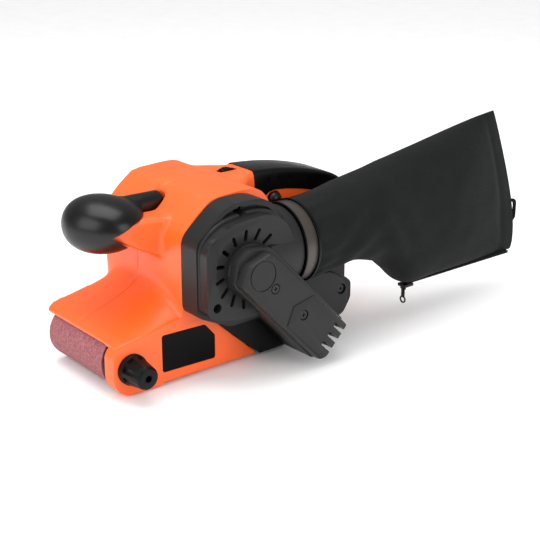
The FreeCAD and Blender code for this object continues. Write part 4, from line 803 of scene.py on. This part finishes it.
# %% A pebble on an arm
KNOB_CENTRE = Vector((0.0, -71.5, 116.4))
KNOB_HALF = 35.5
KNOB_VOXEL = 1.3
pebble = bmesh.new()
bmesh.ops.create_uvsphere(pebble, u_segments=64, v_segments=40, radius=1.0)
for vert in pebble.verts:
    x, y, z = vert.co
    full = 21.4 if z > 0 else 21.0
    nose = 31.5 if y < 0 else 33.0
    narrow = 1.0 - 0.16 * max(-y, 0.0) ** 2
    vert.co = KNOB_CENTRE + Vector((x * KNOB_HALF * narrow, y * nose, z * full - 3.0 * y * z))
knob = as_object(pebble, "front_knob")
combine(knob, [drum("Y", -66.0, -21.4, STEM_CENTRE, 9.8, 8.8, rim=2.6)], "UNION")
one_skin(knob, KNOB_VOXEL)
mesh = bmesh.new()
mesh.from_mesh(knob.data)
soften(mesh, mesh.verts, 14)
mesh.to_mesh(knob.data)
mesh.free()
NOTCH = [(-71.5, 106.1, 1), (-58.3, 97.0, 1), (-17, 81, 0), (-17, 121, 0), (-34, 127.4, 0),
         (-66, 122.2, 0), (-84.4, 114.8, 2)]
combine(knob, [slab(NOTCH, -60.0, 60.0)], "DIFFERENCE")
combine(knob, [drum("Y", -76.0, -21.4, STEM_CENTRE, 9.8, 8.8, rim=2.6)], "UNION")
finish_piece(knob, "front_knob", gloss_black, "machine", ["front_grip"], 50.0)

# %% [markdown]
# ## The rear grip
# A soft black skin wraps the handle from the neck to the foot and stands slightly proud of the
# orange. The handle's own outline is swollen a little along its normals, and the part inside
# the grip's boundary is kept. Small notches along both sides give the palm some hold.

# %% Soft skin on the handle
def swollen_handle(distance):
    """The handle's volume, grown or shrunk along its normals."""
    mesh = handle_volume()
    mesh.normal_update()
    shifts = [(vert, vert.normal * distance) for vert in mesh.verts]
    for vert, shift in shifts:
        vert.co += shift
    return mesh


GRIP_ZONE = [(59, 150, 0), (57.5, 134, 8), (56, 118, 4), (57, 99, 0), (63.6, 99, 0),
             (65, 112, 5), (74, 118.6, 5), (91, 117, 5), (111, 113, 8), (129, 107.5, 8),
             (143, 98, 8), (151, 84, 6), (151, 64, 0), (182, 64, 0), (182, 150, 0)]
grip = as_object(swollen_handle(0.7), "handle_skin")
combine(grip, [slab(GRIP_ZONE, -22.0, 22.0)], "INTERSECT")
combine(grip, [swollen_handle(-1.6), drum("Y", 150.0, 176.0, GLAND_CENTRE, 9.0)], "DIFFERENCE")
NOTCH_LINE = [(66, 131), (100, 128.4), (128, 121.5)]
NOTCH_DEEP = 2.7
NOTCHES = 6
NOTCH_PITCH = 11.0
notches = []
for index in range(NOTCHES):
    y = 72.0 + NOTCH_PITCH * index
    top = along(NOTCH_LINE, y)
    for x in (-19.7, 17.0):
        notches.append(block(x, x + NOTCH_DEEP, y - 0.6, y + 0.6, top - 7.5, top - 1.0, soft=0.3))
combine(grip, notches, "DIFFERENCE")
finish_piece(grip, "handle_skin", soft_black, "machine", ["handle_grip"])

# %% [markdown]
# ## Rear lobe and small controls
# Behind the belt cover a rounded lobe closes the dust duct. The lock button is a black dome in
# a round pocket of the handle, and the tracking knob is a fluted cone with a deep socket.

# %% Lobe, dome and knob
LOBE = [(62, 20, 4), (66, 8, 2), (104, 8, 10), (120.5, 20, 10), (121.5, 40, 9), (109, 53, 8),
        (96, 56, 8), (74, 56.2, 3)]
lobe = as_object(slab(LOBE, 45.0, 60.4, rim=3.2, rim_segments=4), "rear_lobe")
screw_pocket = drum("X", 56.9, 62.0, (114.0, 37.0), 4.6)
combine(lobe, [screw_pocket, block(40.0, 57.3, 60.0, 119.0, 0.0, 56.0)], "DIFFERENCE")
finish_piece(lobe, "rear_lobe", charcoal, "machine", [])
dome = bmesh.new()
bmesh.ops.create_uvsphere(dome, u_segments=48, v_segments=24, radius=1.0)
bmesh.ops.scale(dome, verts=dome.verts, vec=(6.0, 6.8, 6.8))
bmesh.ops.translate(dome, verts=dome.verts, vec=(17.0, *LOCK_CENTRE))
button = as_object(dome, "lock_dome")
combine(button, [block(5.0, 17.4, 65.0, 90.0, 98.0, 122.0)], "DIFFERENCE")
combine(button, [drum("X", 9.0, 17.8, LOCK_CENTRE, 4.9)], "UNION")
finish_piece(button, "lock_dome", gloss_black, "lock", ["lock_button"])

cone = as_object(drum("X", 57.7, 80.0, TRACKING_CENTRE, 11.6, 8.6, segments=96, rim=1.8),
                 "tracking_cone")
combine(cone, [drum("X", 57.7, 61.2, TRACKING_CENTRE, 11.9, segments=96, rim=0.9)], "UNION")
FLUTES = 8
flute_centre = (TRACKING_CENTRE[0], TRACKING_CENTRE[1] + 12.6)
flutes = []
for index in range(FLUTES):
    flute = drum("X", 62.0, 82.0, flute_centre, 3.4, 3.9, segments=32)
    flutes.append(turned(flute, 360.0 * (index + 0.5) / FLUTES, (0.0, *TRACKING_CENTRE)))
flutes.append(drum("X", 74.0, 82.0, TRACKING_CENTRE, 2.7))
combine(cone, flutes, "DIFFERENCE")
finish_piece(cone, "tracking_cone", deep_black, "tracking", ["tracking_knob"])

# %% [markdown]
# ## The adapter
# A grey-brown cuff with a shallow hollow pushes over the spigot. A black rim stands at each of
# its ends, and the cloth starts right behind the second one.

# %% Cuff and rims
SPIGOT_X = SPIGOT_CENTRE[0]
cuff = as_object(drum("Y", 50.6, 76.0, SPIGOT_CENTRE, 30.4, segments=96), "adapter_cuff")
combine(cuff, [drum("Y", 51.0, 62.4, SPIGOT_CENTRE, 32.4, 31.9, segments=96, rim=0.5)], "UNION")
combine(cuff, [drum("Y", 40.0, 80.0, SPIGOT_CENTRE, 28.7, segments=96)], "DIFFERENCE")
finish_piece(cuff, "adapter_cuff", adapter_grey, "bag", ["bag_adapter"])
rims = as_object(drum("Y", 49.7, 51.2, SPIGOT_CENTRE, 33.0, segments=96, rim=0.5), "adapter_rims")
combine(rims, [drum("Y", 61.9, 64.2, SPIGOT_CENTRE, 33.4, segments=96, rim=0.7)], "UNION")
combine(rims, [drum("Y", 40.0, 80.0, SPIGOT_CENTRE, 30.5, segments=96)], "DIFFERENCE")
finish_piece(rims, "adapter_rims", deep_black, "bag", ["bag_hoop"])

# %% [markdown]
# ## The bag
# The bag is one lofted shell. It starts round on the cuff, widens over a knee to its full
# depth, and closes to a flat seam at the back. Gathers fade out from the mouth, drawn creases
# run up from the knee, and the cloth sags a little between its top edge and the zip seam. Each
# effect is a small push along the section, so every one can be tuned alone. Equal points of
# neighbouring sections are joined, so that the shell can't twist, and its mouth stays open.

# %% Lofted cloth shell
# at each station: the lower edge's y and z, the upper edge's y and z, and half the width
BAG_STATIONS = [
    (62.6, 58.0, 62.6, 122.0, 32.0), (72, 58.0, 71, 122.4, 32.2), (97, 60.6, 92, 125.2, 31.4),
    (122, 61.4, 117, 129.2, 30.4), (146, 54.6, 138, 133.2, 30.0), (163, 42.0, 155, 136.4, 29.4),
    (181, 27.4, 173, 139.6, 28.4), (213, 26.6, 205, 145.8, 25.6), (252, 26.6, 238, 152.2, 20.0),
    (286, 26.6, 264, 157.0, 11.6), (306, 26.4, 277.6, 159.0, 5.4), (320.6, 25.8, 287.6, 160.0, 1.5)]
AROUND = 112
STEPS = 9
MOUTH_Y = 64.0
DRAWN_Y = 100.0
KNEE_Y = 150.0


def curved(stations, index, share):
    """A smooth curve through the stations, between one and the next."""
    last = len(stations) - 1
    before, start, end, after = (stations[min(max(index + step, 0), last)]
                                 for step in (-1, 0, 1, 2))
    values = []
    for a, b, c, d in zip(before, start, end, after):
        values.append(b + 0.5 * share * (c - a + share * (2 * a - 5 * b + 4 * c - d
                                                         + share * (3 * (b - c) + d - a))))
    return values


def bag_ring(station, along_bag):
    """One section of the cloth, from its lower to its upper edge and back."""
    low_y, low_z, high_y, high_z, half = station
    ring = []
    power = 0.96 - 0.16 * along_bag
    for step in range(AROUND):
        angle = math.tau * step / AROUND
        side, lift = math.cos(angle), math.sin(angle)
        x = half * math.copysign(abs(side) ** power, side)
        up = 0.5 + 0.5 * math.copysign(abs(lift) ** power, lift)
        y = low_y + (high_y - low_y) * up
        z = low_z + (high_z - low_z) * up
        y += 9.0 * along_bag ** 2 * math.sin(math.pi * up ** 0.62)
        gather = 0.9 * math.exp(-(y - MOUTH_Y) / 20.0) * math.sin(17.0 * angle + 2.4 * side)
        knee = math.exp(-((y - KNEE_Y) / 26.0) ** 2) * max(0.0, 1.0 - up) ** 1.5
        crease = 2.6 * knee * math.sin(0.21 * (y + 0.8 * z) + 1.2)
        drawn = math.exp(-((y - DRAWN_Y) / 34.0) ** 2) * math.sin(0.16 * (y - 1.2 * z))
        slack = noise.noise(Vector((x * 0.02, y * 0.017, z * 0.024))) * 3.4
        slack += noise.noise(Vector((x * 0.05 + 9.0, y * 0.042, z * 0.05))) * 1.1
        ends = min(1.0, max(0.0, (y - MOUTH_Y - 2.0) / 24.0)) * (1.0 - along_bag ** 5)
        hem = 1.3 * math.exp(-((1.0 - along_bag) / 0.026 - 4.4) ** 2)
        push = gather + crease + (1.1 * drawn + slack) * ends - hem
        ring.append((SPIGOT_X + x + push * side, y, z + 0.5 * push * lift * (1.0 - along_bag)))
    return ring


rings = []
for index in range(len(BAG_STATIONS) - 1):
    for step in range(STEPS):
        share = (index + step / STEPS) / (len(BAG_STATIONS) - 1)
        rings.append(bag_ring(curved(BAG_STATIONS, index, step / STEPS), share))
rings.append(bag_ring(BAG_STATIONS[-1], 1.0))
cloth = bmesh.new()
loops = [[cloth.verts.new(point) for point in ring] for ring in rings]
for first, second in zip(loops, loops[1:]):
    for step in range(AROUND):
        follow = (step + 1) % AROUND
        cloth.faces.new((first[step], first[follow], second[follow], second[step]))
cloth.faces.new(loops[-1])
bmesh.ops.recalc_face_normals(cloth, faces=cloth.faces)
bag = as_object(cloth, "bag_shell")
CLOTH_THICKNESS = 0.9
thick = bag.modifiers.new("cloth", "SOLIDIFY")
thick.thickness = CLOTH_THICKNESS
thick.offset = -1.0
bake_modifiers(bag)
finish_piece(bag, "bag_shell", bag_cloth, "bag", ["dust_bag"], 60.0)

# %% [markdown]
# The zip lies in the lower seam: a tape, a row of small teeth on each side, and a slider with
# a pull that ends in a ring. The slider comes from CAD. The ring is a small torus, skinned from
# rings of points round its circle. A loop of tape is sewn into the rear seam.

# %% Zip tape, teeth, pull and loop
TEETH = 50
TOOTH_PITCH = 2.5
EYE_TURNS = 32
EYE_SIDES = 10
EYE_RADIUS = 2.7
EYE_WIRE = 0.75
tape = block(SPIGOT_X - 5.0, SPIGOT_X + 5.0, 186.0, 314.0, 24.8, 27.4, soft=0.5)
zip_tape = as_object(tape, "zip_tape")
finish_piece(zip_tape, "zip_tape", tape_cloth, "bag", [])
teeth = bmesh.new()
for index in range(TEETH):
    side = -1.0 if index % 2 else 1.0
    made = bmesh.ops.create_cube(teeth, size=1.0)["verts"]
    bmesh.ops.scale(teeth, verts=made, vec=(2.6, 1.5, 1.0))
    bmesh.ops.translate(teeth, verts=made,
                        vec=(SPIGOT_X + 0.9 * side, 188.0 + TOOTH_PITCH * index, 24.3))
zip_teeth = as_object(teeth, "zip_teeth")
finish_piece(zip_teeth, "zip_teeth", dark_steel, "bag", [])
pull = as_object(block(SPIGOT_X - 1.9, SPIGOT_X + 1.9, 185.6, 186.8, 11.2, 19.6, soft=0.4),
                 "zip_pull")
eye = bmesh.new()
eye_rings = []
for index in range(EYE_TURNS):
    turn = math.tau * index / EYE_TURNS
    ring = []
    for step in range(EYE_SIDES):
        tube = math.tau * step / EYE_SIDES
        radius = EYE_RADIUS + EYE_WIRE * math.cos(tube)
        ring.append(eye.verts.new((SPIGOT_X + radius * math.cos(turn),
                                   186.2 + EYE_WIRE * math.sin(tube),
                                   9.6 + radius * math.sin(turn))))
    eye_rings.append(ring)
for index in range(EYE_TURNS):
    first, second = eye_rings[index], eye_rings[(index + 1) % EYE_TURNS]
    for step in range(EYE_SIDES):
        follow = (step + 1) % EYE_SIDES
        eye.faces.new((first[step], first[follow], second[follow], second[step]))
bmesh.ops.recalc_face_normals(eye, faces=eye.faces)
hinge_pin = drum("X", 56.2, 61.8, (186.2, 19.8), 0.8)
combine(pull, [eye, hinge_pin], "UNION")
finish_piece(pull, "zip_pull", dark_steel, "zip_puller", ["zip_puller"])
strap = as_object(slab([(308, 53, 2), (325.4, 53, 5), (325.4, 74, 5), (305, 74, 2)],
                       SPIGOT_X - 1.4, SPIGOT_X + 1.4, rim=0.5, back_rim=0.5), "bag_loop")
strap_hole = slab([(300, 55.4, 1), (323.4, 55.4, 4), (323.4, 71.6, 4), (300, 71.6, 1)],
                  50.0, 70.0)
combine(strap, [strap_hole], "DIFFERENCE")
finish_piece(strap, "bag_loop", tape_cloth, "bag", [])

# %% [markdown]
# ## The motor's end cap
# A vented black cap closes the far end of the motor. It tapers outwards, so that it stays
# behind the barrel's outline, and ten slots let the cooling air in.

# %% Tapered vented cap
cap = as_object(drum("X", -68.0, -55.9, MOTOR_CENTRE, 27.0, 31.5, segments=96), "end_cap")
VENTS = 10
vents = [drum("X", -65.6, -50.0, MOTOR_CENTRE, 25.0, 29.5, segments=96)]
for index in range(VENTS):
    vent = block(-70.0, -64.0, MOTOR_Y - 1.4, MOTOR_Y + 1.4, MOTOR_Z + 10.0, MOTOR_Z + 22.5)
    vents.append(turned(vent, 360.0 / VENTS * index, (0.0, *MOTOR_CENTRE)))
combine(cap, vents, "DIFFERENCE")
finish_piece(cap, "end_cap", charcoal, "machine", ["motor_end_cap"])

# %% [markdown]
# ## The springs
# Each spring is a steel copy of its CAD node that stands in its place, and the node is hidden.
# A CAD node's mesh may not change, so each spring is a copy of it that stands in its place.

# %% Spring copies
SPRINGS = (("tension_spring", "tension_slide_travel", (0, 1, 0), 0.6),
           ("trigger_spring", "trigger_pull", (0, 0, 1), 0.45))
for node, joint, axis, keep in SPRINGS:
    low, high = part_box(node)
    anchor = [(a + b) / 2 for a, b in zip(low, high)]
    anchor[axis.index(1)] = high[axis.index(1)]
    coil = bpy.data.objects.new(node + "_coil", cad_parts[node].data.copy())
    bpy.context.scene.collection.objects.link(coil)
    coil.data.materials.clear()
    coil.data.materials.append(steel)
    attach(coil, "machine")
    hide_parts(node)
    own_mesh(coil)

# %% [markdown]
# ## Carried-over parts
# Most inner parts and small fittings are right as they come from CAD. They only need their
# metal, plastic or rubber, so one table gives every node its finish.

# %% Finishes for the CAD nodes
FINISHES = {
    orange: "housing_right housing_left",
    charcoal_cad: "motor_side_cover drive_belt_cover dust_duct motor_end_cap "
                  "tracking_knob",
    deep_black: "drive_case trigger speed_dial cord_inlet switch_body speed_module "
                "dial_potentiometer fan_baffle cooling_fan",
    panel_black: "name_panel",
    soft_black: "handle_grip front_grip lock_button",
    grit: "sanding_belt",
    cork: "platen_pad",
    steel: "platen front_axle drive_shaft motor_shaft lever_pin trigger_pin tracking_screw "
           "tension_lever front_roller_bearings drive_bearings motor_bearings driven_pulley "
           "motor_pulley",
    dark_steel: "platen_screws frame_screws cover_screws zip_slider zip_puller",
    cast: "base_frame drive_roller_core bearing_bracket front_roller tension_slide roller_yoke",
    rubber: "drive_roller_sleeve toothed_belt bag_hoop",
    iron: "stator_core armature_core",
    copper: "field_coils armature_windings commutator",
    brass: "brush_holders",
    carbon: "carbon_brushes",
    bag_cloth: "dust_bag",
    adapter_grey: "bag_adapter",
}
for finish, names in FINISHES.items():
    for name in names.split():
        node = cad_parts[name]
        node.data.materials.clear()
        node.data.materials.append(finish)
print("finished nodes:", sum(len(names.split()) for names in FINISHES.values()))
